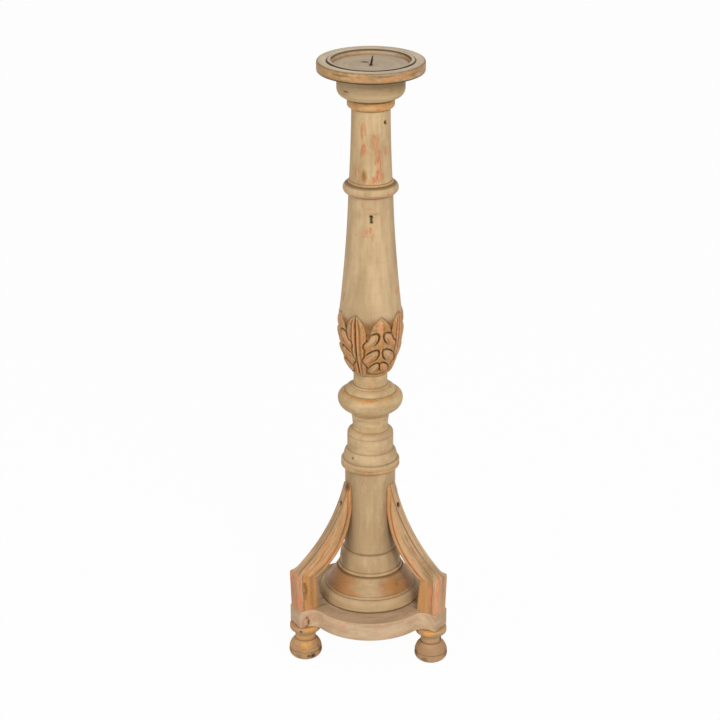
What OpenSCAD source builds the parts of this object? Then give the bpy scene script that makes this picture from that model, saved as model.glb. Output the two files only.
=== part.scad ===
// Altar candlestick: a turned and carved wooden pricket stick on a base with
// three knee-shaped legs and three bun feet.
// Millimetres, Z up. The floor is Z = 0 and the column axis is the Z axis.
// The front of the object looks along -Y.

/* [Drip plate] */
// Diameter of the flat candle recess
recess_d = 90; // [76:1:104]
// Depth of the candle recess
recess_depth = 6.5; // [3:0.5:8]
// Wood left under the recess
plate_floor_t = 6.5; // [4:0.5:12]
// Width of the rim around the recess
rim_w = 17; // [13:0.5:24]
// Rounding of the rim's edges
rim_edge_r = 2; // [0.5:0.25:3]
// Distance from the recess edge to the turned groove
groove_gap = 5.5; // [3.5:0.25:7]
// Width of the turned groove
groove_w = 2; // [1:0.25:3]
// Softened edge of the recess
recess_ease = 1; // [0.4:0.1:1.5]

/* [Pricket spike] */
// Diameter of the iron spike
spike_d = 3; // [2:0.25:5]
// Thickening of the spike's root on each side
spike_shoulder = 0.3; // [0.2:0.05:0.8]
// Height of the thick root above the recess floor
spike_root = 2.6; // [2:0.1:6]
// Straight length of the spike above its root
spike_shank = 5; // [4:0.5:30]
// Length of the spike's point
spike_point = 4; // [2:0.5:12]
// Length driven into the capital
spike_bite = 15; // [10:0.5:18]
// Lean of the spike, as it now stands
spike_lean = 10; // [0:1:15]
// Gap between the spike's root and the edge of its drilled eye
eye_gap = 1.2; // [0.8:0.1:2.5]
// Depth of the drilled eye in the recess floor
eye_depth = 1; // [0.5:0.1:2]

/* [Capital] */
// Diameter of the cup under the plate
cup_d = 78.6; // [68:0.2:88]
// Height of the cup's side
cup_side_h = 18.5; // [14:0.5:26]
// Height of the cup's rounded underside
cup_round_h = 10.8; // [8:0.2:14]
// Width of the cup's rounded underside
cup_round_w = 9.8; // [7:0.2:12]
// Height of the hollow under the cup
cup_cove_h = 1.2; // [0.8:0.1:3]
// Diameter of the gilt ring
gilt_ring_d = 55; // [50:0.5:62]
// Height of the gilt ring
gilt_ring_h = 11; // [6:0.5:14]
// Plain neck under the gilt ring
capital_neck_h = 1; // [1:0.5:6]

/* [Upper shaft] */
// Diameter at the top of the upper shaft
upper_top_d = 45; // [40:0.5:48]
// Diameter at the foot of the upper shaft
upper_foot_d = 50.2; // [46:0.2:56]
// Length of the upper shaft
upper_h = 88; // [60:1:120]
// Height of the fillet at its foot
fillet_h = 2.5; // [1.5:0.25:5]
// Reach of the fillet past the shaft
fillet_out = 1.6; // [0.6:0.2:3]

/* [Leaf shaft] */
// Diameter of the ring bead at the joint
ring_d = 64.8; // [58:0.2:72]
// Height of the ring bead
ring_h = 13; // [9:0.5:18]
// Diameter of the vase just below the ring bead
vase_top_d = 52; // [46:0.5:56]
// Largest diameter of the vase, at the leaf tips
vase_belly_d = 74.4; // [66:0.2:84]
// Length of the plain vase
vase_h = 150; // [110:1:200]
// Height of the carved leaf cup
leaf_h = 70; // [50:1:90]
// Diameter at the bottom of the leaf cup
leaf_foot_d = 48; // [46:0.5:54]
// Reach of the leaf faces past the vase
leaf_proud = 2; // [0.8:0.2:3]
// Depth of the carving
leaf_relief = 2.4; // [1.2:0.1:3.2]
// Pairs of leaves round the cup
leaf_pairs = 4; // [3:1:6]
// Turn of the first broad leaf from the front
leaf_turn = 25; // [0:1:45]

/* [Knop] */
// Diameter of the neck under the leaves
neck_d = 40.4; // [36:0.2:44]
// Height of the neck
neck_h = 19.5; // [12:0.5:26]
// Diameter of the fillet ring on the neck
neck_fillet_d = 43.4; // [42:0.2:48]
// Diameter of the knop
knop_d = 77.8; // [66:0.2:90]
// Height of the knop's upper half
knop_top_h = 16.5; // [13:0.5:24]
// Radius of the knop's lower half
knop_low_r = 15.3; // [12:0.1:18]
// Diameter of the waist
waist_d = 42.6; // [40:0.2:45]
// Height of the waist
waist_h = 25; // [18:0.5:34]

/* [Spool collar] */
// Diameter of the collar's barrel
barrel_d = 55.2; // [50:0.2:60]
// Height of the barrel
barrel_h = 19; // [12:0.5:28]
// Radius of the rounded shoulder
shoulder_r = 5.5; // [3:0.25:6.5]
// Height of the flare below the barrel
flare_h = 14; // [9:0.5:20]
// Diameter of the collar's ring
collar_ring_d = 70.6; // [65:0.2:78]
// Height of the collar's ring
collar_ring_h = 9.5; // [6:0.5:14]

/* [Pedestal] */
// Diameter at the top of the pedestal
ped_top_d = 61.2; // [54:0.2:64]
// Diameter at the foot of the pedestal's stem
ped_foot_d = 63; // [56:0.2:66]
// Length of the pedestal's stem
ped_stem_h = 109; // [80:0.5:150]
// Diameter of the cushion collar
cushion_d = 73.6; // [68:0.2:76]
// Height of the cushion collar
cushion_h = 22.5; // [14:0.5:30]
// Diameter of the fillet on the drum
ped_fillet_d = 78.6; // [76:0.2:82]
// Height of that fillet
ped_fillet_h = 3.5; // [2:0.5:6]

/* [Base drum] */
// Diameter of the drum's band
drum_d = 122; // [114:1:130]
// Height of the drum's band
drum_band_h = 8; // [5:0.5:14]
// Radius of the quarter round above the band
drum_round_r = 6.5; // [4:0.25:8]
// Height of the small upright ring
drum_ring_h = 2.5; // [1.5:0.25:5]
// Height of the gilt slope
drum_slope_h = 20.5; // [14:0.5:30]
// Width of the slope
drum_slope_w = 13.5; // [10:0.5:14]

/* [Base plate] */
// Thickness of the base plate
base_t = 23; // [16:0.5:30]
// Radius of each bowed side
bow_r = 73.5; // [66:0.5:82]
// Offset of each bow from the column axis
bow_offset = 14; // [8:0.5:20]
// Reach of the ears from the column axis
ear_reach = 102.5; // [97:0.5:116]
// Radius of the hollow between ear and bow
ear_fillet_r = 14; // [8:0.5:18]

/* [Legs] */
// Width of the ears and of the leg's post
leg_t = 26; // [20:0.5:32]
// Thickness of the leg's upper end
leg_tip_t = 17; // [12:0.5:22]
// Radial width of the post
post_w = 27.5; // [22:0.5:32]
// Height of the knee above the base plate
knee_h = 47; // [36:0.5:60]
// Lean of the post's outer face
post_lean = 2; // [0:0.25:4]
// Height of the leg's tip above the base plate
leg_h = 153.5; // [120:0.5:165]
// Thickness of the leg's tip outside the pedestal
tip_out = 2; // [1:0.25:5]
// Radius of the hollow outer edge
outer_curve_r = 190; // [140:1:300]
// Radius of the inner edge
inner_curve_r = 101; // [92:1:180]
// Height of the leg's glued seat on the pedestal
seat_h = 36; // [24:0.5:50]
// Drop of the post's inner corner below the knee
inner_drop = 6; // [2:0.5:12]
// Thickness left at the arm's outer edge between its two bevels
edge_t = 12; // [9:0.5:16]
// Reach of the arm's bevels in from its outer edge
bevel_w = 19; // [12:0.5:24]
// How far the bevels run down past the knee
bevel_run = 5; // [2:0.5:12]
// Chamfer on the outer corners of the post
post_chamfer = 4.5; // [2:0.25:7]

/* [Bun feet] */
// Largest diameter of the bun
bun_d = 40.4; // [34:0.2:48]
// Height of the bun below its widest circle
bun_low_h = 10.5; // [8:0.5:16]
// Height of the bun above its widest circle
bun_top_h = 15.5; // [11:0.5:22]
// Diameter of the flat that stands on the floor
bun_flat_d = 16; // [10:0.5:22]
// Height of the neck above the bun
bun_neck_h = 12; // [8:0.5:18]
// Diameter of the neck
bun_neck_d = 25; // [21:0.5:27]
// Diameter of the flange under the base plate
bun_flange_d = 38; // [32:0.5:44]
// Height of the flange
bun_flange_h = 7.5; // [5:0.5:12]
// Diameter of the foot's tenon
foot_tenon_d = 14; // [10:0.5:18]
// Length of the tenon inside the post
foot_tenon_up = 18; // [10:0.5:26]

/* [Dowels and nails] */
// Diameter of the slim dowels in the shafts
dowel_d = 18; // [12:0.5:22]
// Depth of a slim dowel in each piece
dowel_depth = 26; // [14:0.5:32]
// Diameter of the stout dowels in the pedestal
stout_d = 24; // [18:0.5:30]
// Depth of a stout dowel in each piece
stout_depth = 30; // [18:0.5:36]
// Depth of the capital's dowel in the capital
capital_dowel_up = 18; // [10:0.5:21]
// Depth of the waist's dowel in the spool collar
waist_dowel_down = 20; // [12:0.5:23]
// Depth of the stout dowel in the spool collar
spool_dowel_up = 17; // [10:0.5:20]
// Depth of the long dowel in the base plate
base_dowel_depth = 17; // [8:0.5:22]
// Diameter of the nails that hold the legs
nail_d = 3; // [2:0.25:4]
// Diameter of a nail's head
nail_head_d = 6; // [5:0.25:8]
// Thickness of a nail's head
nail_head_t = 1.5; // [1:0.1:2]
// Length of a nail below its head
nail_l = 24; // [18:0.5:26]
// Depth of the nail's head below the leg's edge
nail_sink = 2; // [1:0.25:2.5]
// Height of the nails below the leg's tip
nail_drop = 26; // [20:0.5:30]

/* [View] */
// Node to draw

/* [Hidden] */
$fn = 96;

// Angles of the three legs, counted from +X
turn_left = 210;
turn_right = -30;
turn_rear = 90;
leg_turns = [turn_left, turn_right, turn_rear];

// Heights of the pieces
foot_h = bun_low_h + bun_top_h + bun_neck_h + bun_flange_h;
drum_h = drum_band_h + drum_round_r + drum_ring_h + drum_slope_h;
ped_h = ped_fillet_h + cushion_h + ped_stem_h;
spool_h = collar_ring_h + flare_h + barrel_h + shoulder_r;
knop_h = waist_h + knop_low_r + knop_top_h + neck_h;
leafshaft_h = leaf_h + vase_h + ring_h;
capital_h = capital_neck_h + gilt_ring_h + cup_cove_h + cup_round_h + cup_side_h;
plate_t = plate_floor_t + recess_depth;

// Levels, stacked from the floor
z_base = foot_h;
z_drum = z_base + base_t;
z_ped = z_drum + drum_h;
z_spool = z_ped + ped_h;
z_knop = z_spool + spool_h;
z_leaf = z_knop + knop_h;
z_upper = z_leaf + leafshaft_h;
z_capital = z_upper + upper_h;
z_plate = z_capital + capital_h;
z_recess = z_plate + plate_floor_t;

// Radii used by several pieces
recess_r = recess_d / 2;
plate_r = recess_r + rim_w;
spike_tip_d = 0.4;
spike_root_d = spike_d + 2 * spike_shoulder;
spike_drive = plate_floor_t / cos(spike_lean) + spike_bite;
// Column share of the post's width that sets the feet under the posts
foot_reach = ear_reach - post_w / 2;

// Colours of the view
paint = [0.70, 0.60, 0.45];
gilt = [0.74, 0.54, 0.28];
iron = [0.25, 0.23, 0.22];
beech = [0.80, 0.66, 0.48];

// Points along a circular arc
function arc(c, r, a0, a1, n) = [
    for (i = [0:n])
        let (a = a0 + (a1 - a0) * i / n)
        [c[0] + r * cos(a), c[1] + r * sin(a)]
];

// Points along a quarter of an ellipse
function oval(c, rx, ry, a0, a1, n) = [
    for (i = [0:n])
        let (a = a0 + (a1 - a0) * i / n)
        [c[0] + rx * cos(a), c[1] + ry * sin(a)]
];

// Centre of a circle of radius r through p and q, on the side that s picks
function arc_centre(p, q, r, s) =
    let (m = (p + q) / 2,
         d = q - p,
         h = sqrt(r * r - d * d / 4),
         u = d / norm(d))
    m + s * h * [-u[1], u[0]];

// Direction of p seen from c
function bearing(c, p) = atan2(p[1] - c[1], p[0] - c[0]);

// Points from p to q along the arc of radius r that arc_centre picks with s = 1
function arc_between(p, q, r, n) =
    let (c = arc_centre(p, q, r, 1),
         mid = bearing(c, (p + q) / 2),
         half = asin(norm(q - p) / (2 * r)))
    arc(c, r, mid - half, mid + half, n);

// A list turned round
function turned_round(pts) = [for (i = [len(pts) - 1:-1:0]) pts[i]];

// A turned body from the points of its outline, listed upwards
module turned(pts) {
    low = pts[0][1];
    high = pts[len(pts) - 1][1];
    rotate_extrude()
        polygon(concat([[0, low]], pts, [[0, high]]));
}

// A round bar or hole along Z
module bar(d, z0, z1) {
    translate([0, 0, z0])
        cylinder(d = d, h = z1 - z0);
}

// Drip plate
module drip_plate() {
    groove_r = recess_r + groove_gap;
    e = rim_edge_r;
    color(paint)
    translate([0, 0, z_plate])
    difference() {
        rotate_extrude()
            polygon(concat(
                [[0, 0]],
                arc([plate_r - e, e], e, -90, 0, 6),
                arc([plate_r - e, plate_t - e], e, 0, 90, 6),
                [[groove_r + groove_w / 2, plate_t],
                 [groove_r, plate_t - groove_w / 2],
                 [groove_r - groove_w / 2, plate_t]],
                arc([recess_r + recess_ease, plate_t - recess_ease], recess_ease, 90, 180, 4),
                [[recess_r, plate_floor_t],
                 [0, plate_floor_t]]));
        bar(spike_root_d + 2 * eye_gap, plate_floor_t - eye_depth, plate_t);
        translate([0, 0, -z_plate])
            spike_hole();
    }
}

// Iron spike, driven down through the plate
module pricket_spike() {
    color(iron)
    translate([0, 0, z_recess])
    rotate([0, spike_lean, 0]) {
        bar(spike_root_d, -spike_drive, spike_root);
        bar(spike_d, spike_root, spike_root + spike_shank);
        translate([0, 0, spike_root + spike_shank])
            cylinder(d1 = spike_d, d2 = spike_tip_d, h = spike_point);
    }
}

module spike_hole() {
    translate([0, 0, z_recess])
    rotate([0, spike_lean, 0])
        bar(spike_root_d, -spike_drive, spike_root);
}

// Capital: gilt ring, hollow and cup
module capital() {
    ring_r = gilt_ring_d / 2;
    top_r = upper_top_d / 2;
    cup_r = cup_d / 2;
    ring_z = capital_neck_h;
    cove_z = ring_z + gilt_ring_h;
    cup_z = cove_z + cup_cove_h + cup_round_h;
    round_r = gilt_ring_h * 0.32;
    throat_r = ring_r - round_r * 0.8;
    under_r = cup_r - 0.83 * cup_round_w;
    color(paint)
    translate([0, 0, z_capital])
    difference() {
        turned(concat(
            [[top_r, 0], [top_r, ring_z]],
            arc([ring_r - round_r, ring_z + round_r], round_r, -70, 0, 5),
            arc([ring_r - round_r, cove_z - round_r], round_r, 0, 75, 5),
            oval([under_r, cove_z], under_r - throat_r, cup_cove_h, 180, 100, 4),
            oval([cup_r - cup_round_w, cup_z], cup_round_w, cup_round_h, -80, 0, 9),
            [[cup_r, capital_h]]));
        bar(dowel_d, 0, capital_dowel_up);
        translate([0, 0, -z_capital])
            spike_hole();
    }
}

// Upper shaft, hollow-sided, with a fillet at its foot
module upper_shaft() {
    r0 = upper_foot_d / 2;
    r1 = upper_top_d / 2;
    n = 10;
    color(paint)
    translate([0, 0, z_upper])
    difference() {
        turned(concat(
            [[r0 + fillet_out, 0]],
            arc([r0 + fillet_out / 2, fillet_h - fillet_out / 2], fillet_out / 2, 0, 90, 4),
            [for (i = [0:n])
                let (t = i / n)
                [r1 + (r0 - r1) * (0.2 * (1 - t) + 0.8 * pow(1 - t, 2)),
                 fillet_h + (upper_h - fillet_h) * t]]));
        bar(dowel_d, 0, dowel_depth);
        bar(dowel_d, upper_h - dowel_depth, upper_h);
    }
}

// Outline of the leaf cup, sunk by s below the face of the leaves
function cup_point(u, s) =
    let (foot = leaf_foot_d / 2,
         belly = vase_belly_d / 2 + leaf_proud)
    [foot + (belly - foot) * (1 - pow(1 - u, 2.8)) - s * min(1, 0.35 + u * 3), leaf_h * u];

// Half width of a broad leaf across its lobes
leaf_w = 1.3 * PI * vase_belly_d / (4 * leaf_pairs);
// Radius at which the leaves are rooted inside the cup
leaf_root_r = leaf_foot_d / 2 - leaf_relief - 3;

// Right half of a broad leaf's edge, upwards, with three drooping lobes grown by g
function broad_half(g) =
    let (w = leaf_w, h = leaf_h)
    concat(
        [[0.26 * w + g, 0.04 * h]],
        arc([0.34 * w, 0.13 * h], 0.28 * w + g, -40, 30, 3),
        arc([0.60 * w, 0.33 * h], 0.36 * w + g, -48, 36, 4),
        arc([0.63 * w, 0.60 * h], 0.36 * w + g, -44, 62, 5),
        [[0.66 * w + g, 0.775 * h],
         [0.60 * w + g, 0.89 * h],
         [0.48 * w + g, 0.975 * h + g],
         [0.24 * w + g, 1.06 * h + g],
         [0, 1.11 * h + g]]);

// Both halves of an outline from its right half, listed upwards
function both(half) = concat(
    half,
    [for (i = [len(half) - 1:-1:0])
        if (half[i][0] > 0)
            [-half[i][0], half[i][1]]]);

// Undercut above a lobe: a crescent between two arcs, tilted by a
module lobe_cut(x, y, r, a) {
    translate([x, y])
    rotate(a)
        polygon(concat(
            arc([0, 0], r, 12, 168, 6),
            arc([0, -0.34 * r], r, 152, 28, 6)));
}

module broad_leaf() {
    w = leaf_w;
    h = leaf_h;
    difference() {
        polygon(both(broad_half(0)));
        for (s = [-1, 1]) {
            lobe_cut(s * 0.58 * w, 0.63 * h, 0.30 * w, s * -18);
            lobe_cut(s * 0.55 * w, 0.36 * h, 0.29 * w, s * -18);
            lobe_cut(s * 0.32 * w, 0.155 * h, 0.24 * w, s * -10);
        }
        polygon([[-0.03 * w, 0.50 * h], [0.03 * w, 0.50 * h], [0.07 * w, 0.90 * h],
                 [0, 0.985 * h], [-0.07 * w, 0.90 * h]]);
        polygon([[-0.06 * w, 0.27 * h], [0.06 * w, 0.27 * h], [0, 0.43 * h]]);
    }
}

// Tall leaf with straight ribs
module ribbed_leaf() {
    w = leaf_w;
    h = leaf_h;
    difference() {
        polygon(both([[0.40 * w, 0.03 * h],
                      [0.66 * w, 0.585 * h],
                      [0.70 * w, 0.84 * h],
                      [0.56 * w, 0.985 * h],
                      [0.30 * w, 1.08 * h],
                      [0, 1.13 * h]]));
        polygon([[-0.03 * w, 0.08 * h], [0.03 * w, 0.08 * h], [0.05 * w, 1.06 * h],
                 [-0.05 * w, 1.06 * h]]);
        for (s = [-1, 1])
            polygon([[s * 0.17 * w, 0.10 * h], [s * 0.22 * w, 0.10 * h],
                     [s * 0.36 * w, 0.88 * h], [s * 0.28 * w, 0.91 * h]]);
    }
}

// A flat leaf drawn as width and height, carried outwards at angle a from the front
module outward(a) {
    rotate([0, 0, a - 90])
    translate([leaf_root_r, 0, 0])
    rotate([90, 0, 90])
        linear_extrude(height = vase_belly_d / 2)
            children();
}

// Body that the faces of the leaves lie on
module leaf_envelope(m) {
    turned(concat(
        [for (i = [0:m]) cup_point(i / m, 0)],
        [[vase_belly_d / 2 - 0.3, leaf_h * 1.17]]));
}

// Leaf shaft: vase with a ring bead on top and the carved leaf cup at its foot
module leaf_shaft() {
    ring_r = ring_d / 2;
    vase_r = vase_top_d / 2;
    belly_r = vase_belly_d / 2;
    step = 360 / leaf_pairs;
    bead_r = ring_h / 2;
    n = 16;
    m = 5;
    color(gilt)
    translate([0, 0, z_leaf])
    difference() {
        union() {
            turned(concat(
                [for (i = [0:m - 1]) cup_point(i / m, leaf_relief)],
                [for (i = [0:n])
                    let (t = 1 - i / n)
                    [vase_r + (belly_r - vase_r) * (0.1 * t + 0.9 * pow(t, 1.55)),
                     leaf_h + vase_h * i / n]],
                arc([ring_r - bead_r, leaf_h + vase_h + bead_r], bead_r, -80, 80, 10),
                [[ring_r - bead_r, leafshaft_h]]));
            for (i = [0:leaf_pairs - 1]) {
                intersection() {
                    leaf_envelope(m);
                    outward(leaf_turn + step * i)
                        broad_leaf();
                }
                difference() {
                    intersection() {
                        leaf_envelope(m);
                        outward(leaf_turn + step * (i + 0.5))
                            ribbed_leaf();
                    }
                    for (k = [0, 1])
                        outward(leaf_turn + step * (i + k))
                            polygon(both(broad_half(0.8)));
                }
            }
        }
        bar(dowel_d, 0, dowel_depth);
        bar(dowel_d, leafshaft_h - dowel_depth, leafshaft_h);
    }
}

// Knop with its neck and waist
module knop() {
    neck_r = neck_d / 2;
    knop_r = knop_d / 2;
    waist_r = waist_d / 2;
    c = [knop_r - knop_low_r, waist_h + knop_low_r];
    bead = 1.2;
    ridge_z = c[1] + 0.52 * knop_top_h;
    crown_z = c[1] + knop_top_h;
    ridge_r = neck_r + 0.62 * (knop_r - neck_r);
    color(paint)
    translate([0, 0, z_knop])
    difference() {
        turned(concat(
            [[waist_r, 0], [waist_r - 0.2, 0.2 * waist_h], [waist_r + 0.5, 0.52 * waist_h],
             [waist_r + 1.6, 0.8 * waist_h]],
            arc([waist_r + 1.7, waist_h - 1.5 * bead], bead, -70, 75, 4),
            arc(c, knop_low_r, -72, 0, 8),
            oval([ridge_r, c[1]], knop_r - ridge_r, ridge_z - c[1], 12, 80, 5),
            [[ridge_r - 0.9, ridge_z + 0.6]],
            oval([neck_r + 1.6, ridge_z + 0.8], ridge_r - 1.4 - neck_r - 1.6,
                 crown_z - ridge_z - 1.6, 0, 82, 5),
            [[neck_r, crown_z + 1.2],
             [neck_r, z_leaf - z_knop - 2.4],
             [neck_fillet_d / 2, z_leaf - z_knop - 1.6],
             [neck_fillet_d / 2, z_leaf - z_knop]]));
        bar(dowel_d, 0, dowel_depth);
        bar(dowel_d, knop_h - dowel_depth, knop_h);
    }
}

// Spool-shaped collar between knop and pedestal
module spool_collar() {
    ring_r = collar_ring_d / 2;
    barrel_r = barrel_d / 2;
    ped_r = ped_top_d / 2;
    e = collar_ring_h * 0.18;
    flare_out = (ring_r - barrel_r) * 0.62;
    flare_z = collar_ring_h;
    barrel_z = flare_z + flare_h;
    shoulder_z = barrel_z + barrel_h;
    color(paint)
    translate([0, 0, z_spool])
    difference() {
        turned(concat(
            [[ped_r - 1, 0]],
            arc([ring_r - e, e], e, -90, 0, 5),
            arc([ring_r - e, flare_z - e], e, 0, 90, 5),
            oval([barrel_r, flare_z + 0.8], flare_out, flare_h - 2, 0, 84, 6),
            [[barrel_r, barrel_z], [barrel_r, shoulder_z]],
            arc([barrel_r - shoulder_r, shoulder_z], shoulder_r, 8, 90, 6)));
        bar(dowel_d, spool_h - waist_dowel_down, spool_h);
        bar(stout_d, 0, spool_dowel_up);
    }
}

// Outline of the pedestal, which also copes the legs' seats
module pedestal_body() {
    fillet_r = ped_fillet_d / 2;
    cushion_r = cushion_d / 2;
    foot_r = ped_foot_d / 2;
    top_r = ped_top_d / 2;
    e = ped_fillet_h * 0.4;
    stem_z = ped_fillet_h + cushion_h;
    n = 8;
    translate([0, 0, z_ped])
        turned(concat(
            [[fillet_r - 0.6, 0], [fillet_r, 0.8], [fillet_r, ped_fillet_h - e]],
            arc([fillet_r - e, ped_fillet_h - e], e, 15, 90, 4),
            [[cushion_r, ped_fillet_h + 0.2]],
            oval([foot_r + 0.4, ped_fillet_h + 0.34 * cushion_h], cushion_r - foot_r - 0.4,
                 0.66 * cushion_h - 0.6, 0, 90, 7),
            [[foot_r - 0.5, stem_z]],
            [for (i = [0:n])
                let (t = i / n)
                [top_r + (foot_r - top_r) * pow(1 - t, 2) - 0.5 * sin(180 * t),
                 stem_z + 1 + (ped_stem_h - 1) * t]]));
}

// Pedestal column, with holes for the dowels and the legs' nails
module pedestal() {
    color(paint)
    difference() {
        pedestal_body();
        bar(stout_d, z_spool - stout_depth, z_spool);
        bar(stout_d, z_ped, z_ped + stout_depth);
        for (a = leg_turns)
            rotate([0, 0, a])
                nail_shank();
    }
}

// Drum that carries the pedestal
module base_drum() {
    r = drum_d / 2;
    ring_r = r - drum_round_r;
    ring_z = drum_band_h + drum_round_r;
    slope_z = ring_z + drum_ring_h;
    color(gilt)
    translate([0, 0, z_drum])
    difference() {
        turned(concat(
            [[r, 0]],
            arc([ring_r, drum_band_h], drum_round_r, 0, 86, 7),
            [[ring_r, slope_z - 0.4], [ring_r - 0.6, slope_z],
             [ring_r - 1.4, slope_z + 0.3],
             [ring_r - 0.55 * drum_slope_w, slope_z + 0.5 * drum_slope_h],
             [ring_r - drum_slope_w, drum_h - 1.2],
             [ring_r - drum_slope_w - 0.6, drum_h]]));
        bar(stout_d, 0, drum_h);
    }
}

// One ear of the base plate, along +X, with hollow flanks
module ear() {
    half = leg_t / 2;
    f = ear_fillet_r;
    bow = bow_offset * [cos(60), sin(60)];
    c = [bow[0] + sqrt(pow(bow_r + f, 2) - pow(half + f - bow[1], 2)), half + f];
    touch = bow + (c - bow) * bow_r / (bow_r + f);
    translate([0, -half])
        square([ear_reach, leg_t]);
    for (s = [0, 1])
        mirror([0, s])
        difference() {
            polygon([[touch[0] - f, half - 1], [c[0], half - 1], [c[0], half],
                     touch, [touch[0] - f, touch[1] - 1]]);
            translate(c)
                circle(r = f);
        }
}

module base_plan() {
    for (a = leg_turns) {
        rotate(a + 60)
            translate([bow_offset, 0])
                circle(r = bow_r);
        rotate(a)
            ear();
    }
}

// Base plate with three bowed sides and three ears
module base_plate() {
    color(paint)
    difference() {
        translate([0, 0, z_base])
            linear_extrude(height = base_t)
                base_plan();
        bar(stout_d, z_drum - base_dowel_depth, z_drum);
        for (a = leg_turns)
            rotate([0, 0, a])
            translate([foot_reach, 0, 0])
                bar(foot_tenon_d, z_base, z_drum);
    }
}

// Turned dowels inside the column
module capital_dowel() {
    color(beech)
        bar(dowel_d, z_capital - dowel_depth, z_capital + capital_dowel_up);
}

module ring_dowel() {
    color(beech)
        bar(dowel_d, z_upper - dowel_depth, z_upper + dowel_depth);
}

module neck_dowel() {
    color(beech)
        bar(dowel_d, z_leaf - dowel_depth, z_leaf + dowel_depth);
}

module waist_dowel() {
    color(beech)
        bar(dowel_d, z_knop - waist_dowel_down, z_knop + dowel_depth);
}

module spool_dowel() {
    color(beech)
        bar(stout_d, z_spool - stout_depth, z_spool + spool_dowel_up);
}

// Long dowel from the pedestal through the drum into the base plate
module pedestal_dowel() {
    color(beech)
        bar(stout_d, z_drum - base_dowel_depth, z_ped + stout_depth);
}

// Corners of the leg's side view, as distance from the axis and height
tip_z = z_drum + leg_h;
knee_z = z_drum + knee_h;
ped_seat_r = ped_top_d / 2;
tip_p = [ped_seat_r + tip_out, tip_z];
knee_p = [ear_reach + post_lean, knee_z];
seat_p = [ped_seat_r - 0.5, tip_z - seat_h];
corner_p = [ear_reach - post_w + 2 * post_lean, knee_z - inner_drop];
outer_c = arc_centre(tip_p, knee_p, outer_curve_r, 1);
core_r = ped_seat_r - 6;

// Side view of a leg
module leg_side() {
    polygon(concat(
        [[ear_reach, z_drum]],
        turned_round(arc_between(tip_p, knee_p, outer_curve_r, 18)),
        [[core_r, tip_z], [core_r, seat_p[1]]],
        arc_between(seat_p, corner_p, inner_curve_r, 14),
        [[ear_reach - post_w, z_drum]]));
}

// Distance of the leg's outer edge from the axis at height z
function edge_x(z) = outer_c[0] - sqrt(pow(outer_curve_r, 2) - pow(z - outer_c[1], 2));

// Leg standing along +X
module leg() {
    half = leg_t / 2;
    tip_half = leg_tip_t / 2;
    nail_z = tip_z - nail_drop;
    difference() {
        intersection() {
            rotate([90, 0, 0])
            translate([0, 0, -half])
                linear_extrude(height = leg_t)
                    leg_side();
            rotate([90, 0, 90])
                linear_extrude(height = knee_p[0] + 1)
                    polygon([[-half, z_drum], [half, z_drum], [half, knee_z],
                             [tip_half, tip_z], [-tip_half, tip_z], [-half, knee_z]]);
        }
        pedestal_body();
        translate([foot_reach, 0, 0])
            bar(foot_tenon_d, z_drum, z_drum + foot_tenon_up);
        leg_bevels();
        post_chamfers();
        nail_shank();
        nail_head_hole();
    }
}

// Bevels along the arm that thin its outer edge, on both sides
module leg_bevels() {
    half = leg_t / 2;
    rise = (leg_t - edge_t) / (2 * bevel_w);
    over = 6;
    for (s = [-1, 1])
        intersection() {
            translate([outer_c[0], 0, outer_c[1]])
            rotate([90, 0, 0])
            rotate_extrude()
                polygon([[outer_curve_r - over, s * (edge_t / 2 - over * rise)],
                         [outer_curve_r + bevel_w, s * half],
                         [outer_curve_r + bevel_w, s * leg_t],
                         [outer_curve_r - over, s * leg_t]]);
            translate([0, -leg_t, knee_z - bevel_run])
                cube([knee_p[0] + 1, 2 * leg_t, leg_h]);
        }
}

// Chamfers on the two outer corners of the post
module post_chamfers() {
    half = leg_t / 2;
    out = post_lean + 1;
    for (s = [-1, 1])
        translate([0, 0, z_drum])
        linear_extrude(height = knee_h)
            polygon([[ear_reach - post_chamfer, s * half],
                     [ear_reach + out, s * half],
                     [ear_reach + out, s * (half - post_chamfer - out)]]);
}

// Straight part of a leg's nail, along +X
module nail_shank() {
    head_x = edge_x(tip_z - nail_drop) - nail_sink;
    translate([head_x - nail_l, 0, tip_z - nail_drop])
    rotate([0, 90, 0])
        cylinder(d = nail_d, h = nail_l);
}

module nail_head(l) {
    head_x = edge_x(tip_z - nail_drop) - nail_sink;
    translate([head_x - nail_head_t, 0, tip_z - nail_drop])
    rotate([0, 90, 0])
        cylinder(d = nail_head_d, h = l);
}

module nail_head_hole() {
    nail_head(nail_head_t + nail_sink + 10);
}

// Nails through the legs into the pedestal
module leg_nails() {
    color(iron)
    for (a = leg_turns)
        rotate([0, 0, a]) {
            nail_shank();
            nail_head(nail_head_t);
        }
}

module leg_left() {
    color(gilt)
    rotate([0, 0, turn_left])
        leg();
}

module leg_right() {
    color(gilt)
    rotate([0, 0, turn_right])
        leg();
}

module leg_rear() {
    color(gilt)
    rotate([0, 0, turn_rear])
        leg();
}

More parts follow.
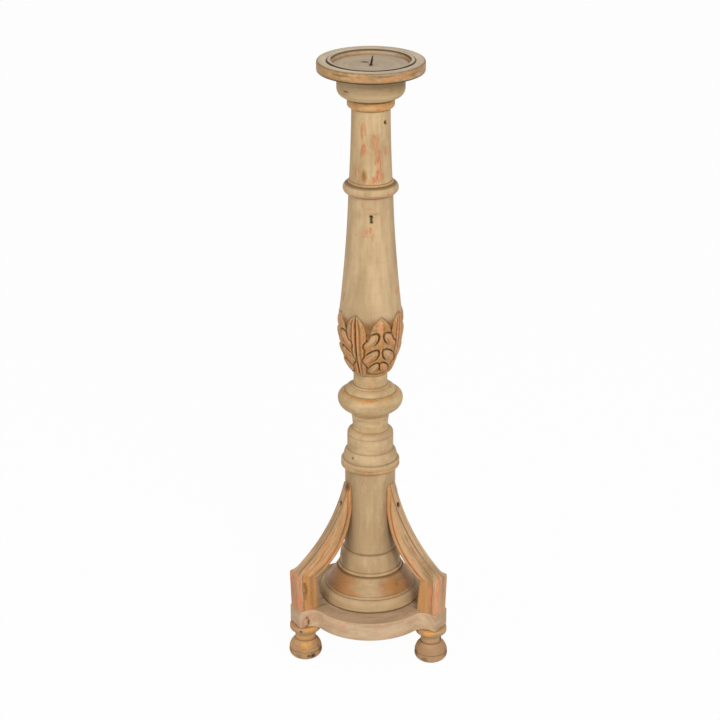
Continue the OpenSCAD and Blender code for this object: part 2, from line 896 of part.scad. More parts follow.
// Turned bun foot with its tenon, standing on the floor
module bun_foot() {
    r = bun_d / 2;
    flat_r = bun_flat_d / 2;
    neck_r = bun_neck_d / 2;
    flange_r = bun_flange_d / 2;
    neck_z = bun_low_h + bun_top_h;
    flange_z = neck_z + bun_neck_h;
    neck_a = acos((neck_r - flat_r) / (r - flat_r));
    e = bun_flange_h * 0.34;
    translate([foot_reach, 0, 0]) {
        turned(concat(
            oval([flat_r, bun_low_h], r - flat_r, bun_low_h, -90, 0, 7),
            oval([flat_r, bun_low_h], r - flat_r, bun_top_h / sin(neck_a), 10, neck_a, 7),
            [[neck_r, neck_z + 0.3 * bun_neck_h],
             [neck_r + 0.5, neck_z + 0.65 * bun_neck_h],
             [neck_r + 2, flange_z - 0.4]],
            arc([flange_r - e, flange_z + e], e, -90, 0, 5),
            [[flange_r, foot_h]]));
        bar(foot_tenon_d, foot_h - 1, z_drum + foot_tenon_up);
    }
}

module bun_foot_left() {
    color(gilt)
    rotate([0, 0, turn_left])
        bun_foot();
}

module bun_foot_right() {
    color(gilt)
    rotate([0, 0, turn_right])
        bun_foot();
}

module bun_foot_rear() {
    color(gilt)
    rotate([0, 0, turn_rear])
        bun_foot();
}

drip_plate();
pricket_spike();
capital();
upper_shaft();
leaf_shaft();
knop();
spool_collar();
pedestal();
base_drum();
base_plate();
capital_dowel();
ring_dowel();
neck_dowel();
waist_dowel();
spool_dowel();
pedestal_dowel();
leg_left();
leg_right();
leg_rear();
bun_foot_left();
bun_foot_right();
bun_foot_rear();
leg_nails();
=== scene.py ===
# %% [markdown]
# A turned and carved altar candlestick in worn paint. The imported solids come
# first as a fixed frame in metres, and every piece below stands where its
# solid stands.

# %% Load the frame
import math

import bmesh
import bpy
import numpy as np
from mathutils import Matrix, Vector


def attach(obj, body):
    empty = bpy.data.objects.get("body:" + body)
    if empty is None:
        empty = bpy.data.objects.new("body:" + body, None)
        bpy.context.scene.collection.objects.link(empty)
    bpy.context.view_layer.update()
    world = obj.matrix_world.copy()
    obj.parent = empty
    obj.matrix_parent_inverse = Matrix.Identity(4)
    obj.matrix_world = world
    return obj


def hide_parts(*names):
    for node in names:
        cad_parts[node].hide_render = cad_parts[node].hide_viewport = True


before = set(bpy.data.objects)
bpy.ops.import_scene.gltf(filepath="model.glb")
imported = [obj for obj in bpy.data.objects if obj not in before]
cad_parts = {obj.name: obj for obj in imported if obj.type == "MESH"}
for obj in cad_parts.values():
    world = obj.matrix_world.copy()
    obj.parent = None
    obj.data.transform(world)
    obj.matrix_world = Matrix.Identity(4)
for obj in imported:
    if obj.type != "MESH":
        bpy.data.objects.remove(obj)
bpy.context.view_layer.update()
MM = 0.001


def put(name, data):
    """An object of that data in the scene."""
    made = bpy.data.objects.new(name, data)
    bpy.context.scene.collection.objects.link(made)
    return made


print("nodes:", len(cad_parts))

# %% [markdown]
# The photograph looks down on the stick from about 2.5 m, a little from its
# right. A long lens keeps the turned rings as flat as they look there. The
# camera turns a quarter of a degree to the left, so that the stick stands
# right of the middle, and the lens shift stays at nought.

# %% Camera
SIDE_STEP = math.radians(2.8)
FLOOR_DISTANCE = 2.520
EYE_HEIGHT = 1.4162
LOOK_DOWN = math.radians(22.43)
LOOK_LEFT = math.radians(0.281)
FOCAL_PIXELS = 2300
FRAME_PIXELS = 720

camera_data = bpy.data.cameras.new("photo_camera")
camera_data.sensor_width = 36
camera_data.lens = camera_data.sensor_width * FOCAL_PIXELS / FRAME_PIXELS
camera_data.clip_end = 50
camera = put("photo_camera", camera_data)
camera.location = (FLOOR_DISTANCE * math.sin(SIDE_STEP),
                   -FLOOR_DISTANCE * math.cos(SIDE_STEP), EYE_HEIGHT)
camera.rotation_euler = (math.pi / 2 - LOOK_DOWN, 0, SIDE_STEP + LOOK_LEFT)
bpy.context.scene.camera = camera
print("lens", round(camera_data.lens, 1), "mm")

# %% [markdown]
# Old church paint is never one colour. Under the grey-beige coat lie an ochre
# size and a coral ground, and they show where hands, wax and knocks have
# rubbed the coat thin. One shader group makes that layering for every piece.
# It takes its place from the mesh's flow, which says which way strokes run:
# up the shafts, round the mouldings and along the legs. It also reads five
# measures that each mesh carries: gilt; a dark measure of dirt together with
# painted shade in hollows, joints and beside other parts; ridge, for rubbed
# paint and in a few places a painted highlight; coral; and a dark measure of
# holes together with painted shadow in grooves and under edges.

# %% A bench for node trees
class Bench:
    """A node tree, with short ways to add to it."""

    def __init__(self, tree):
        self.tree = tree
        self.link = tree.links.new

    def add(self, kind, feeds=(), **values):
        """A node of that kind, its properties set and its sockets fed."""
        made = self.tree.nodes.new(kind)
        for name, value in values.items():
            setattr(made, name, value)
        for socket, value in dict(feeds).items():
            if isinstance(value, bpy.types.NodeSocket):
                self.link(value, made.inputs[socket])
            else:
                made.inputs[socket].default_value = value
        return made

    def calc(self, how, a, b=0.0, clamp=False):
        """One arithmetic node."""
        return self.add("ShaderNodeMath", {0: a, 1: b}, operation=how, use_clamp=clamp).outputs[0]

    def times(self, a, b):
        return self.calc("MULTIPLY", a, b)

    def plus(self, a, b):
        return self.calc("ADD", a, b)

    def minus(self, a, b):
        return self.calc("SUBTRACT", a, b)

    def mean(self, a, b, share):
        """So much of a and the rest of b."""
        return self.plus(self.times(a, share), self.times(b, 1 - share))

    def sway(self, noise, amount):
        """A noise moved to swing about nought."""
        return self.times(self.minus(noise, 0.5), amount)

    def step(self, value, low, high):
        """Nought at low, one at high, smooth between."""
        return self.add("ShaderNodeMapRange", {"Value": value, "From Min": low, "From Max": high},
                        interpolation_type="SMOOTHSTEP").outputs["Result"]

    def over(self, share, under, top):
        """One colour passing into another by share."""
        return self.add("ShaderNodeMix", {0: share, 6: under, 7: top}, data_type="RGBA").outputs[2]

    def noise(self, place, stretch, detail, rough):
        """Noise with so many blotches to the metre along each axis of the place."""
        place = self.add("ShaderNodeMapping", {"Vector": place, "Scale": stretch}).outputs[0]
        return self.add("ShaderNodeTexNoise", {"Vector": place, "Scale": 1.0, "Detail": detail,
                                               "Roughness": rough}).outputs["Fac"]


def open_sockets(tree, way, kinds):
    """Opens a group's inputs or outputs."""
    for name, kind in kinds.items():
        tree.interface.new_socket(name, in_out=way, socket_type="NodeSocket" + kind)


def linear(red, green, blue):
    """A colour named as it shows on screen, made linear for the shader."""
    parts = [c / 255 for c in (red, green, blue)]
    return tuple(c / 12.92 if c <= 0.04045 else ((c + 0.055) / 1.055) ** 2.4
                 for c in parts) + (1.0,)


print("bench ready")

# %% The worn paint group
MARKS = ("gilt", "crease", "ridge", "coral", "hole")
PAINT_COLOURS = ("Coat", "Thin coat", "Ochre", "Coral", "Dirt and shade")
PAINT_AMOUNTS = ("Streaks", "Rings", "Rub", "Grime", "Specks")
# The dark of open holes, also laid as painted shadow in grooves and under edges.
HOLE_AND_SHADOW_COLOUR = (34, 20, 10)
CREAM = (1, 1, 0.9, 1)
SHINE = 0.4
# Blotches to the metre along x, y and z, then detail and roughness
NOISES = {"mottle": ((52, 52, 34), 5, 0.62), "cloud": ((15, 15, 8), 2, 0.5),
          "streak": ((230, 230, 26), 5, 0.65), "brush": ((420, 420, 60), 4, 0.6),
          "lathe_line": ((12, 12, 520), 3, 0.6), "speck": ((480, 480, 330), 3, 0.7),
          "ragged": ((240, 240, 80), 6, 0.72), "peel": ((170, 170, 60), 5, 0.6)}


def make_worn_paint():
    """Layers coat, ochre, rubbed edges with some painted highlight, bare ground, dirt with painted shade,
    and holes with painted shadow.
    """
    tree = bpy.data.node_groups.new("worn_paint", "ShaderNodeTree")
    open_sockets(tree, "INPUT", {"Place": "Vector", **dict.fromkeys(PAINT_COLOURS, "Color"),
                                 **dict.fromkeys(PAINT_AMOUNTS, "Float")})
    open_sockets(tree, "OUTPUT", {"Color": "Color", "Roughness": "Float", "Height": "Float",
                                  "Gloss": "Float"})
    bench = Bench(tree)
    times, plus, minus, mean = bench.times, bench.plus, bench.minus, bench.mean
    sway, step, over = bench.sway, bench.step, bench.over
    given = bench.add("NodeGroupInput").outputs
    gilt, crease, ridge, bared, hole = (
        bench.add("ShaderNodeAttribute", attribute_name=mark).outputs["Fac"] for mark in MARKS)
    mottle, cloud, streak, brush, lathe_line, speck, ragged, peel = (
        bench.noise(given["Place"], *values) for values in NOISES.values())
    coat, thin_coat, ochre, coral, dirt_and_shade = (given[name] for name in PAINT_COLOURS)
    streaks, rings, rub, grime_shade_strength, specks = (given[name] for name in PAINT_AMOUNTS)

    # Coat, thin and thick, with brush marks and turning lines
    colour = over(step(mean(mottle, cloud, 0.6), 0.40, 0.62), coat, thin_coat)
    dark_lines = times(step(mean(streak, brush, 0.7), 0.52, 0.36), streaks)
    colour = over(times(dark_lines, 0.55), colour, dirt_and_shade)
    pale_lines = times(step(mean(streak, brush, 0.6), 0.54, 0.70), streaks)
    colour = over(times(pale_lines, 0.65), colour, over(0.35, thin_coat, CREAM))
    turned_lines = times(step(lathe_line, 0.48, 0.32), rings)
    colour = over(times(turned_lines, 0.25), colour, dirt_and_shade)

    # Ochre that shows as a wash, browner where it is thick
    wash = over(times(step(mean(streak, mottle, 0.5), 0.54, 0.38), 0.42), ochre, dirt_and_shade)
    wash = over(times(step(mean(brush, cloud, 0.5), 0.50, 0.66), 0.4), wash, thin_coat)
    gilded = plus(plus(times(gilt, 0.85), sway(mottle, 1.3)), sway(brush, 0.5))
    gilded = step(gilded, 0.22, 0.85)
    colour = over(gilded, colour, wash)

    # Rubbed edges, a few of them a painted highlight, then bare ground in torn strokes
    rubbed_and_highlit = step(plus(times(ridge, rub), minus(ragged, 0.62)), 0.10, 0.45)
    colour = over(times(rubbed_and_highlit, 0.7), colour, over(0.6, ochre, thin_coat))
    bare = plus(bared, times(ridge, 0.10))
    bare = step(plus(bare, sway(ragged, 1.9)), 0.36, 0.74)
    ground = over(step(brush, 0.62, 0.38), coral, over(0.5, coral, thin_coat))
    colour = over(times(bare, 0.36), colour, ground)
    tear = plus(sway(peel, 2.6), sway(ragged, 1.3))
    scar = times(step(tear, 0.05, 0.35), times(step(bared, 0.2, 0.5), 0.3))
    colour = over(scar, colour, thin_coat)
    torn = times(step(bench.calc("ABSOLUTE", tear), 0.22, 0.04), step(bared, 0.18, 0.55))
    torn = times(torn, step(mean(brush, mottle, 0.6), 0.34, 0.54))
    colour = over(times(torn, 0.9), colour, coral)

    # Pin pricks, dirt and painted shade in the hollows and beside other parts, then open holes and painted
    # shadow
    pits = times(step(speck, 0.60, 0.74), specks)
    colour = over(times(pits, 0.45), colour, dirt_and_shade)
    flecks = times(step(speck, 0.40, 0.26), specks)
    colour = over(times(flecks, 0.35), colour, thin_coat)
    grime_shade_mix = times(times(crease, plus(0.45, times(mottle, 0.9))), grime_shade_strength)
    grime_shade_mix = bench.calc("MINIMUM", grime_shade_mix, 0.93)
    colour = over(grime_shade_mix, colour, dirt_and_shade)
    colour = over(times(hole, 0.94), colour, linear(*HOLE_AND_SHADOW_COLOUR))

    # Ochre is smoother, and dirt, painted shade, holes and painted shadow do not shine
    rough = minus(plus(0.60, times(mottle, 0.22)), times(gilded, 0.24))
    dull = bench.calc("MAXIMUM", hole, times(grime_shade_mix, 0.9))
    gloss = bench.calc("SUBTRACT", SHINE, times(dull, SHINE), clamp=True)
    height = plus(times(streak, times(streaks, 0.8)), times(brush, 0.25))
    height = minus(minus(height, times(bare, 0.35)), times(pits, 0.5))
    bench.add("NodeGroupOutput", {"Color": colour, "Roughness": rough, "Height": height, "Gloss": gloss})
    return tree


worn_paint = make_worn_paint()
print("worn paint group:", len(worn_paint.nodes), "nodes")

# %% Finishes
BUMP_DEPTH = 0.0008
# Coat, thin coat, ochre, coral, and the dark of dirt and painted shade, as they
# show on screen; then streaks, rings, rub, the strength of dirt and painted
# shade, and specks; then the strength of the bump
FINISHES = {
    "plate_paint": (((198, 177, 150), (222, 202, 172), (182, 138, 80), (208, 128, 82), (54, 40, 30)),
                    (0.15, 0.1, 0.15, 1.0, 0.4), 0.35),
    "stem_paint": (((186, 155, 114), (212, 181, 137), (206, 153, 90), (206, 116, 70), (84, 60, 40)),
                   (0.17, 0.15, 0.5, 0.8, 0.65), 0.35),
    "stem_paint_worn": (((191, 159, 113), (216, 186, 140), (206, 153, 90), (206, 116, 70), (92, 60, 34)),
                        (0.28, 0.15, 0.5, 0.9, 0.8), 0.5),
    "leaf_gilt": (((186, 155, 114), (212, 181, 137), (186, 128, 64), (222, 142, 96), (66, 40, 20)),
                  (0.17, 0.15, 0.6, 1.0, 0.65), 0.35),
    "drum_gilt": (((188, 156, 114), (214, 184, 140), (176, 122, 68), (206, 132, 88), (60, 40, 24)),
                  (0.25, 0.5, 0.5, 0.9, 0.7), 0.35),
    "base_paint": (((189, 157, 121), (217, 185, 149), (206, 156, 100), (222, 146, 110), (84, 60, 40)),
                   (0.14, 0.1, 0.5, 0.8, 0.8), 0.35),
    "leg_paint": (((178, 146, 106), (214, 184, 142), (206, 146, 82), (226, 138, 94), (64, 42, 26)),
                  (0.95, 0.0, 0.6, 0.9, 1.0), 0.5),
    "foot_gilt": (((178, 138, 98), (206, 166, 120), (222, 162, 82), (214, 136, 96), (52, 34, 22)),
                  (0.15, 0.6, 0.6, 1.0, 0.8), 0.35),
}


def new_material(name):
    """A material, a bench for its tree and the sockets of its shader."""
    made = bpy.data.materials.new(name)
    made.use_nodes = True
    return made, Bench(made.node_tree), made.node_tree.nodes["Principled BSDF"].inputs


def paint_finish(name, colours, amounts, bump):
    """A material that holds the worn paint group with its own values."""
    made, bench, shader = new_material(name)
    values = dict(zip(PAINT_COLOURS, (linear(*colour) for colour in colours)))
    values.update(zip(PAINT_AMOUNTS, amounts))
    values["Place"] = bench.add("ShaderNodeAttribute", attribute_name="flow").outputs["Vector"]
    coat = bench.add("ShaderNodeGroup", values, node_tree=worn_paint).outputs
    lift = bench.add("ShaderNodeBump", {"Strength": bump, "Distance": BUMP_DEPTH,
                                        "Height": coat["Height"]}).outputs["Normal"]
    for socket, value in (("Base Color", coat["Color"]), ("Roughness", coat["Roughness"]),
                          ("Specular IOR Level", coat["Gloss"]), ("Normal", lift)):
        bench.link(value, shader[socket])
    return made


paints = {name: paint_finish(name, *values) for name, values in FINISHES.items()}
print("paint finishes:", ", ".join(paints))

# %% Iron and bare wood
def grain_finish(name, noise, tones, matt, metal=None):
    """A material whose tone, roughness and metal follow one noise."""
    made, bench, shader = new_material(name)
    grain = bench.noise(bench.add("ShaderNodeTexCoord").outputs["Object"], *noise)
    low, high, dark, light = tones
    tone = bench.over(bench.step(grain, low, high), linear(*dark), linear(*light))
    bench.link(tone, shader["Base Color"])
    bench.link(bench.plus(matt[0], bench.times(grain, matt[1])), shader["Roughness"])
    if metal:
        bench.link(bench.step(grain, *metal), shader["Metallic"])
    return made


iron = grain_finish("iron", ((900, 900, 500), 4, 0.65), (0.4, 0.65, (44, 36, 32), (96, 60, 40)),
                    (0.42, 0.4), (0.7, 0.35))
bare_wood = grain_finish("bare_wood", ((400, 400, 14), 4, 0.6),
                         (0.35, 0.65, (176, 132, 84), (212, 172, 122)), (0.55, 0.3))
for name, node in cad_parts.items():
    if name.endswith("dowel") or name == "leg_nails":
        node.data.materials.clear()
        node.data.materials.append(bare_wood if name.endswith("dowel") else iron)
print("dowels and nails keep their solids")

# %% [markdown]
# Most of the stick was turned on a lathe, so most of its pieces follow one
# rule: an outline carried round the axis. A Geometry Nodes tree does the
# turning. It lays a grid, bends each column of it onto the outline, and adds
# the small waviness that a hand-held gouge leaves. A revolve in mesh code
# would give the same rings, but the tree keeps the sizes as named inputs.

# %% The lathe tree
WAVES_UP = 14.0
WAVE_SCALE = 1.6
WAVE_SINK = 0.75
CALM_NEAR_AXIS = 50.0
WELD = 1e-6


def make_lathe():
    """A tree that carries an outline round the axis."""
    tree = bpy.data.node_groups.new("hand_lathe", "GeometryNodeTree")
    open_sockets(tree, "INPUT", {"Outline": "Geometry", "Steps": "Int", "Waviness": "Float",
                                 "Seed": "Float", "Finish": "Material"})
    open_sockets(tree, "OUTPUT", {"Turned": "Geometry"})
    bench = Bench(tree)
    add, calc, times, plus = bench.add, bench.calc, bench.times, bench.plus
    given = add("NodeGroupInput").outputs
    outline = given["Outline"]

    # The grid, and each point's row and bearing
    rows = add("GeometryNodeAttributeDomainSize", {0: outline}).outputs["Point Count"]
    shape = add("GeometryNodeMeshGrid", {"Vertices X": plus(given["Steps"], 1.0),
                                         "Vertices Y": rows}).outputs["Mesh"]
    index = add("GeometryNodeInputIndex").outputs[0]
    row = calc("MODULO", index, rows)
    column = calc("FLOOR", calc("DIVIDE", index, rows))
    angle = times(calc("DIVIDE", column, given["Steps"]), 2 * math.pi)
    across, aside = calc("COSINE", angle), calc("SINE", angle)

    def along(kind, value):
        """A value of the outline at the point's row."""
        return add("GeometryNodeSampleIndex", {"Geometry": outline, "Value": value, "Index": row},
                   data_type=kind, domain="POINT").outputs[0]

    def joined(x, y, z):
        return add("ShaderNodeCombineXYZ", {0: x, 1: y, 2: z}).outputs[0]

    # The outline's radius, less a little where the gouge dug in
    place = along("FLOAT_VECTOR", add("GeometryNodeInputPosition").outputs[0])
    out, _, up = add("ShaderNodeSeparateXYZ", {0: place}).outputs
    wave = add("ShaderNodeTexNoise", {"Vector": joined(across, aside, times(up, WAVES_UP)),
                                      "W": given["Seed"], "Scale": WAVE_SCALE, "Detail": 2.0},
               noise_dimensions="4D").outputs["Fac"]
    sink = times(bench.minus(wave, WAVE_SINK), given["Waviness"])
    radius = plus(out, times(sink, calc("MINIMUM", times(out, CALM_NEAR_AXIS), 1.0)))

    # The outline's measures go along, then the grid is bent and closed
    for mark in ("gilt", "crease", "ridge"):
        read = add("GeometryNodeInputNamedAttribute", {"Name": mark}, data_type="FLOAT").outputs[0]
        shape = add("GeometryNodeStoreNamedAttribute",
                    {"Geometry": shape, "Name": mark, "Value": along("FLOAT", read)},
                    data_type="FLOAT", domain="POINT").outputs[0]
    spot = joined(times(radius, across), times(radius, aside), up)
    shape = add("GeometryNodeSetPosition", {"Geometry": shape, "Position": spot}).outputs[0]
    shape = add("GeometryNodeMergeByDistance", {"Geometry": shape, "Distance": WELD}).outputs[0]
    shape = add("GeometryNodeSetMaterial", {"Geometry": shape, "Material": given["Finish"]}).outputs[0]
    add("NodeGroupOutput", {0: shape})
    return tree


hand_lathe = make_lathe()
lathe_socket = {s.name: s.identifier for s in hand_lathe.interface.items_tree
                if s.in_out == "INPUT"}
print("lathe inputs:", sorted(lathe_socket))

# %% Meshes and their measures
SHARP_ANGLE = math.radians(55)
FLOW_THIN, FLOW_RISE, FLOW_LEAN = 0.78, 5, 0.8


def read_points(mesh):
    flat = np.empty(len(mesh.vertices) * 3, np.float32)
    mesh.vertices.foreach_get("co", flat)
    return flat.reshape(-1, 3).astype(float)


def read_mark(mesh, mark):
    values = np.empty(len(mesh.vertices), np.float32)
    mesh.attributes[mark].data.foreach_get("value", values)
    return values.astype(float)


def store(mesh, **marks):
    """Writes measures, held between nought and one."""
    for mark, values in marks.items():
        if mark not in mesh.attributes:
            mesh.attributes.new(mark, "FLOAT", "POINT")
        kept = np.clip(values, 0, 1).astype(np.float32)
        mesh.attributes[mark].data.foreach_set("value", kept)


def store_flow(mesh, flow):
    made = mesh.attributes.new("flow", "FLOAT_VECTOR", "POINT")
    made.data.foreach_set("vector", flow.astype(np.float32).ravel())


def ring_faces(rows, count):
    """Faces between closed rings of points, and a face over each end."""
    ring = np.arange(count)
    faces = []
    for row in range(rows - 1):
        here, there = row * count + ring, row * count + np.roll(ring, -1)
        faces += np.stack([here, there, there + count, here + count], 1).tolist()
    return faces + [ring[::-1].tolist(), ((rows - 1) * count + ring).tolist()]


def new_mesh(name, points, faces, marks):
    mesh = bpy.data.meshes.new(name)
    mesh.from_pydata(points, [], faces)
    store(mesh, **marks)
    return mesh


def settle(name, mesh, finish, around=0.0):
    """Closes a mesh, points its faces outwards, smooths it and makes it an object.

    The paint's strokes run round the axis where around is above nought, and
    up it where around is below nought."""
    shape = bmesh.new()
    shape.from_mesh(mesh)
    bmesh.ops.remove_doubles(shape, verts=shape.verts, dist=1e-7)
    bmesh.ops.recalc_face_normals(shape, faces=shape.faces)
    shape.to_mesh(mesh)
    shape.free()
    mesh.name = name
    mesh.shade_smooth()
    mesh.set_sharp_from_angle(angle=SHARP_ANGLE)
    for mark in MARKS:
        if mark not in mesh.attributes:
            mesh.attributes.new(mark, "FLOAT", "POINT")
    if "flow" not in mesh.attributes:
        flow = read_points(mesh)
        if around:
            radius = np.hypot(flow[:, 0], flow[:, 1])
            thin, rise = 1 - FLOW_THIN * around, 1 + FLOW_RISE * around
            flow = np.stack([thin * flow[:, 0], thin * flow[:, 1],
                             rise * (flow[:, 2] + FLOW_LEAN * radius)], 1)
        store_flow(mesh, flow)
    mesh.materials.clear()
    mesh.materials.append(finish)
    return put(name, mesh)


def stand_for(piece, slot, *nodes):
    """The piece rides with the stick and takes the place of its solids."""
    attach(piece, "root")
    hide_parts(*nodes)
    print(piece.name, "stands for", ", ".join(nodes), "with", len(piece.data.polygons), "faces")


def bell(x, middle, reach):
    """One at the middle, fading to nought beyond the reach."""
    return np.exp(-((x - middle) / reach) ** 2)


def smooth_step(low, high, x):
    """Nought at low, one at high, smooth between."""
    t = np.clip((x - low) / (high - low), 0, 1)
    return t * t * (3 - 2 * t)


print("mesh helpers ready")

# %% Outlines
PROUD = 0.22
EDGE_REACH = 1.8


def sweep(r0, z0, rr, rz, start, end, count, *gilt):
    """Points of part of an oval: centre, two radii and two bearings in degrees."""
    found = []
    for a in np.radians(np.linspace(start, end, count + 1)):
        found.append((r0 + rr * math.cos(a), z0 + rz * math.sin(a)) + gilt)
    return found


def arc(r0, z0, r, start, end, count, *gilt):
    """Points of part of a circle."""
    return sweep(r0, z0, r, r, start, end, count, *gilt)


def even(field):
    """Evens out a line a little, with its ends kept."""
    field[1:-1] = (field[:-2] + 2 * field[1:-1] + field[2:]) / 4


def outline_points(points, gap, worn):
    """Evenly spaced outline in millimetres with worn corners, and its measures."""
    full = np.array([(p[0], p[1], p[2] if len(p) > 2 else 0.0) for p in points], float)
    step = np.hypot(*np.diff(full[:, :2], axis=0).T)
    full = full[np.concatenate([[True], step > 1e-6])]
    far = np.concatenate([[0], np.cumsum(np.hypot(*np.diff(full[:, :2], axis=0).T))])
    at = np.linspace(0, far[-1], max(8, int(far[-1] / gap)))
    line = np.stack([np.interp(at, far, full[:, k]) for k in range(3)], 1)
    for _ in range(worn):
        even(line[:, :2])
    smooth = line[:, :2].copy()
    for _ in range(max(2, int(EDGE_REACH / gap))):
        even(smooth)
    run = np.gradient(line[:, :2], axis=0)
    normal = np.stack([run[:, 1], -run[:, 0]], 1)
    normal /= np.maximum(np.linalg.norm(normal, axis=1, keepdims=True), 1e-9)
    proud = ((line[:, :2] - smooth) * normal).sum(1) / PROUD
    return line, {"gilt": line[:, 2], "crease": -proud, "ridge": proud}


def turn(name, points, finish, steps=168, waviness=0.25, seed=1.0, gap=0.6, worn=1, around=0.0):
    """Turns an outline, listed upwards from axis to axis, into a closed mesh object."""
    line, marks = outline_points(points, gap, worn)
    sketch = bpy.data.meshes.new(name + "_outline")
    sketch.from_pydata([(r * MM, 0, z * MM) for r, z, _ in line],
                       [(i, i + 1) for i in range(len(line) - 1)], [])
    store(sketch, **marks)
    blank = put(name + "_outline", sketch)
    spin = blank.modifiers.new("lathe", "NODES")
    spin.node_group = hand_lathe
    for socket, value in (("Steps", steps), ("Waviness", waviness * MM), ("Seed", seed),
                          ("Finish", finish)):
        spin[lathe_socket[socket]] = value
    depsgraph = bpy.context.evaluated_depsgraph_get()
    mesh = bpy.data.meshes.new_from_object(blank.evaluated_get(depsgraph),
                                           preserve_all_data_layers=True, depsgraph=depsgraph)
    bpy.data.objects.remove(blank)
    bpy.data.meshes.remove(sketch)
    return settle(name, mesh, finish, around)


print("outline helpers ready")

# %% [markdown]
# Patches of bare coral ground and old nail holes sit at certain places on the
# real stick. Each is given by its bearing from the front, its height and its
# half width and half height. The patch fades outwards, and the shader's noise
# tears its edge. A hole also pushes the mesh in, so it is there in the shape.

# %% Patches and holes
ALL_ROUND = 500
DAB_EDGE, SPOT_EDGE, HOLE_EDGE = 1.35, 1.4, 1.5


def polar(piece):
    """Points in mm, their bearings from the front in degrees and their radii."""
    points = read_points(piece.data) / MM
    bearing = np.degrees(np.arctan2(points[:, 0], -points[:, 1]))
    return points, bearing, np.hypot(points[:, 0], points[:, 1])


def spot_distance(place, turn_to, height, wide, tall):
    """Distance from a spot on the surface, counted in its half sizes."""
    points, bearing, radius = place
    off = np.radians((bearing - turn_to + 180) % 360 - 180)
    return np.hypot(off * radius / wide, (points[:, 2] - height) / tall)


def dab(piece, beyond=0.0, **marks):
    """Adds soft spots to measures: bearing in degrees, height, half sizes in mm, strength."""
    place = polar(piece)
    for mark, spots in marks.items():
        values = read_mark(piece.data, mark)
        for *spot, strength in spots:
            soft = np.clip(DAB_EDGE - spot_distance(place, *spot), 0, 1) * (place[2] >= beyond)
            values = np.maximum(values, strength * soft)
        store(piece.data, **{mark: values})


def fade(piece, mark, spots):
    """Weakens a measure round some spots: as in dab, with the share taken away."""
    place = polar(piece)
    values = read_mark(piece.data, mark)
    for *spot, share in spots:
        values *= 1 - share * bell(spot_distance(place, *spot), 0, 1)
    store(piece.data, **{mark: values})


def touch_up(piece, **marks):
    """Adds soft round spots to measures: place and reach in mm, strength."""
    points = read_points(piece.data) / MM
    for mark, spots in marks.items():
        store(piece.data, **{mark: spotted(points, read_mark(piece.data, mark), spots)})


def spotted(points, values, spots):
    """Values raised to a strength round some places."""
    for x, y, z, reach, strength in spots:
        away = np.linalg.norm(points - (x, y, z), axis=1) / reach
        values = np.maximum(values, strength * np.clip(SPOT_EDGE - away, 0, 1))
    return values


def bore(piece, holes):
    """Sinks small round holes: bearing in degrees, height, radius and depth in mm."""
    place = polar(piece)
    points, _, radius = place
    sunk = points.copy()
    values = read_mark(piece.data, "hole")
    for turn_to, height, wide, deep in holes:
        cup = np.clip(HOLE_EDGE - spot_distance(place, turn_to, height, wide, wide), 0, 1)
        sunk[:, :2] *= (1 - deep * cup / np.maximum(radius, 1e-3))[:, None]
        values = np.maximum(values, cup)
    piece.data.vertices.foreach_set("co", (sunk * MM).astype(np.float32).ravel())
    piece.data.update()
    store(piece.data, hole=values)


print("patch helpers ready")

# %% [markdown]
# The drip plate is a shallow dish: a rounded rim, a turned line in its flat
# top and a level floor for the candle. The edge of the rim was gilded and has
# worn to ochre and coral, while the top keeps a greyer coat.

# %% Drip plate
Z_PLATE = 728.8
Z_RECESS = 735.3
Z_TOP = 741.8
RIM = 2.4
RIM_R = 59.6
RECESS_R = 45.0
GROOVE_R = 50.5
GROOVE_DARK_R = 50.2
drip_plate = turn("drip_plate_turned", [
    (0, Z_PLATE), (39, Z_PLATE, 0.1), (58, Z_PLATE, 0.4)]
    + arc(RIM_R, Z_PLATE + RIM, RIM, -90, 0, 8, 1.0)
    + arc(RIM_R, Z_TOP - RIM, RIM, 0, 60, 8, 0.95) + arc(RIM_R, Z_TOP - RIM, RIM, 66, 90, 4, 0.5)
    + [(58.8, Z_TOP, 0.1), (GROOVE_R + 1.2, Z_TOP), (GROOVE_R, Z_TOP - 1.4), (GROOVE_R - 1.2, Z_TOP)]
    + arc(RECESS_R + 1, Z_TOP - 1, 1, 90, 180, 6, 0.2)
    + [(RECESS_R, Z_RECESS + 5.4, 0.7), (RECESS_R, Z_RECESS + 1, 0.75), (44.4, Z_RECESS, 0.4),
       (42, Z_RECESS), (3.1, Z_RECESS), (2.9, Z_RECESS - 0.9), (0, Z_RECESS - 1)],
    paints["plate_paint"], steps=224, seed=2.0, gap=0.5, around=0.75)
dab(drip_plate, beyond=56.0, coral=[
    (-7, 734, 10, 2.5, 0.7), (20, 735, 10, 2.5, 0.6), (34, 736, 16, 2.5, 0.75),
    (-45, 733, 9, 2.5, 0.5), (-20, 737, 12, 1.5, 0.55), (62, 735, 12, 2.5, 0.6),
    (120, 734, 14, 4, 0.4), (205, 733, 18, 4, 0.4), (280, 735, 12, 4, 0.4)])
# A band of painted shade runs round the lower edge of the rim, under the plate; the other dark spots on the
# rim are dirt.
dab(drip_plate, beyond=52.0, crease=[
    (0, Z_PLATE + 0.2, 900, 1.8, 1.0), (-30, 737, 12, 1.4, 0.5), (18, 738, 16, 1.2, 0.5),
    (55, 736, 12, 2, 0.4), (150, 737, 20, 2, 0.4), (240, 736, 20, 2, 0.4)])
print("plate turned")

# %% Painted shade, painted shadow and dirt on the plate
plate_at, _, plate_r = polar(drip_plate)
upper = plate_at[:, 2] > Z_TOP - 2
front = smooth_step(10, -30, plate_at[:, 1])
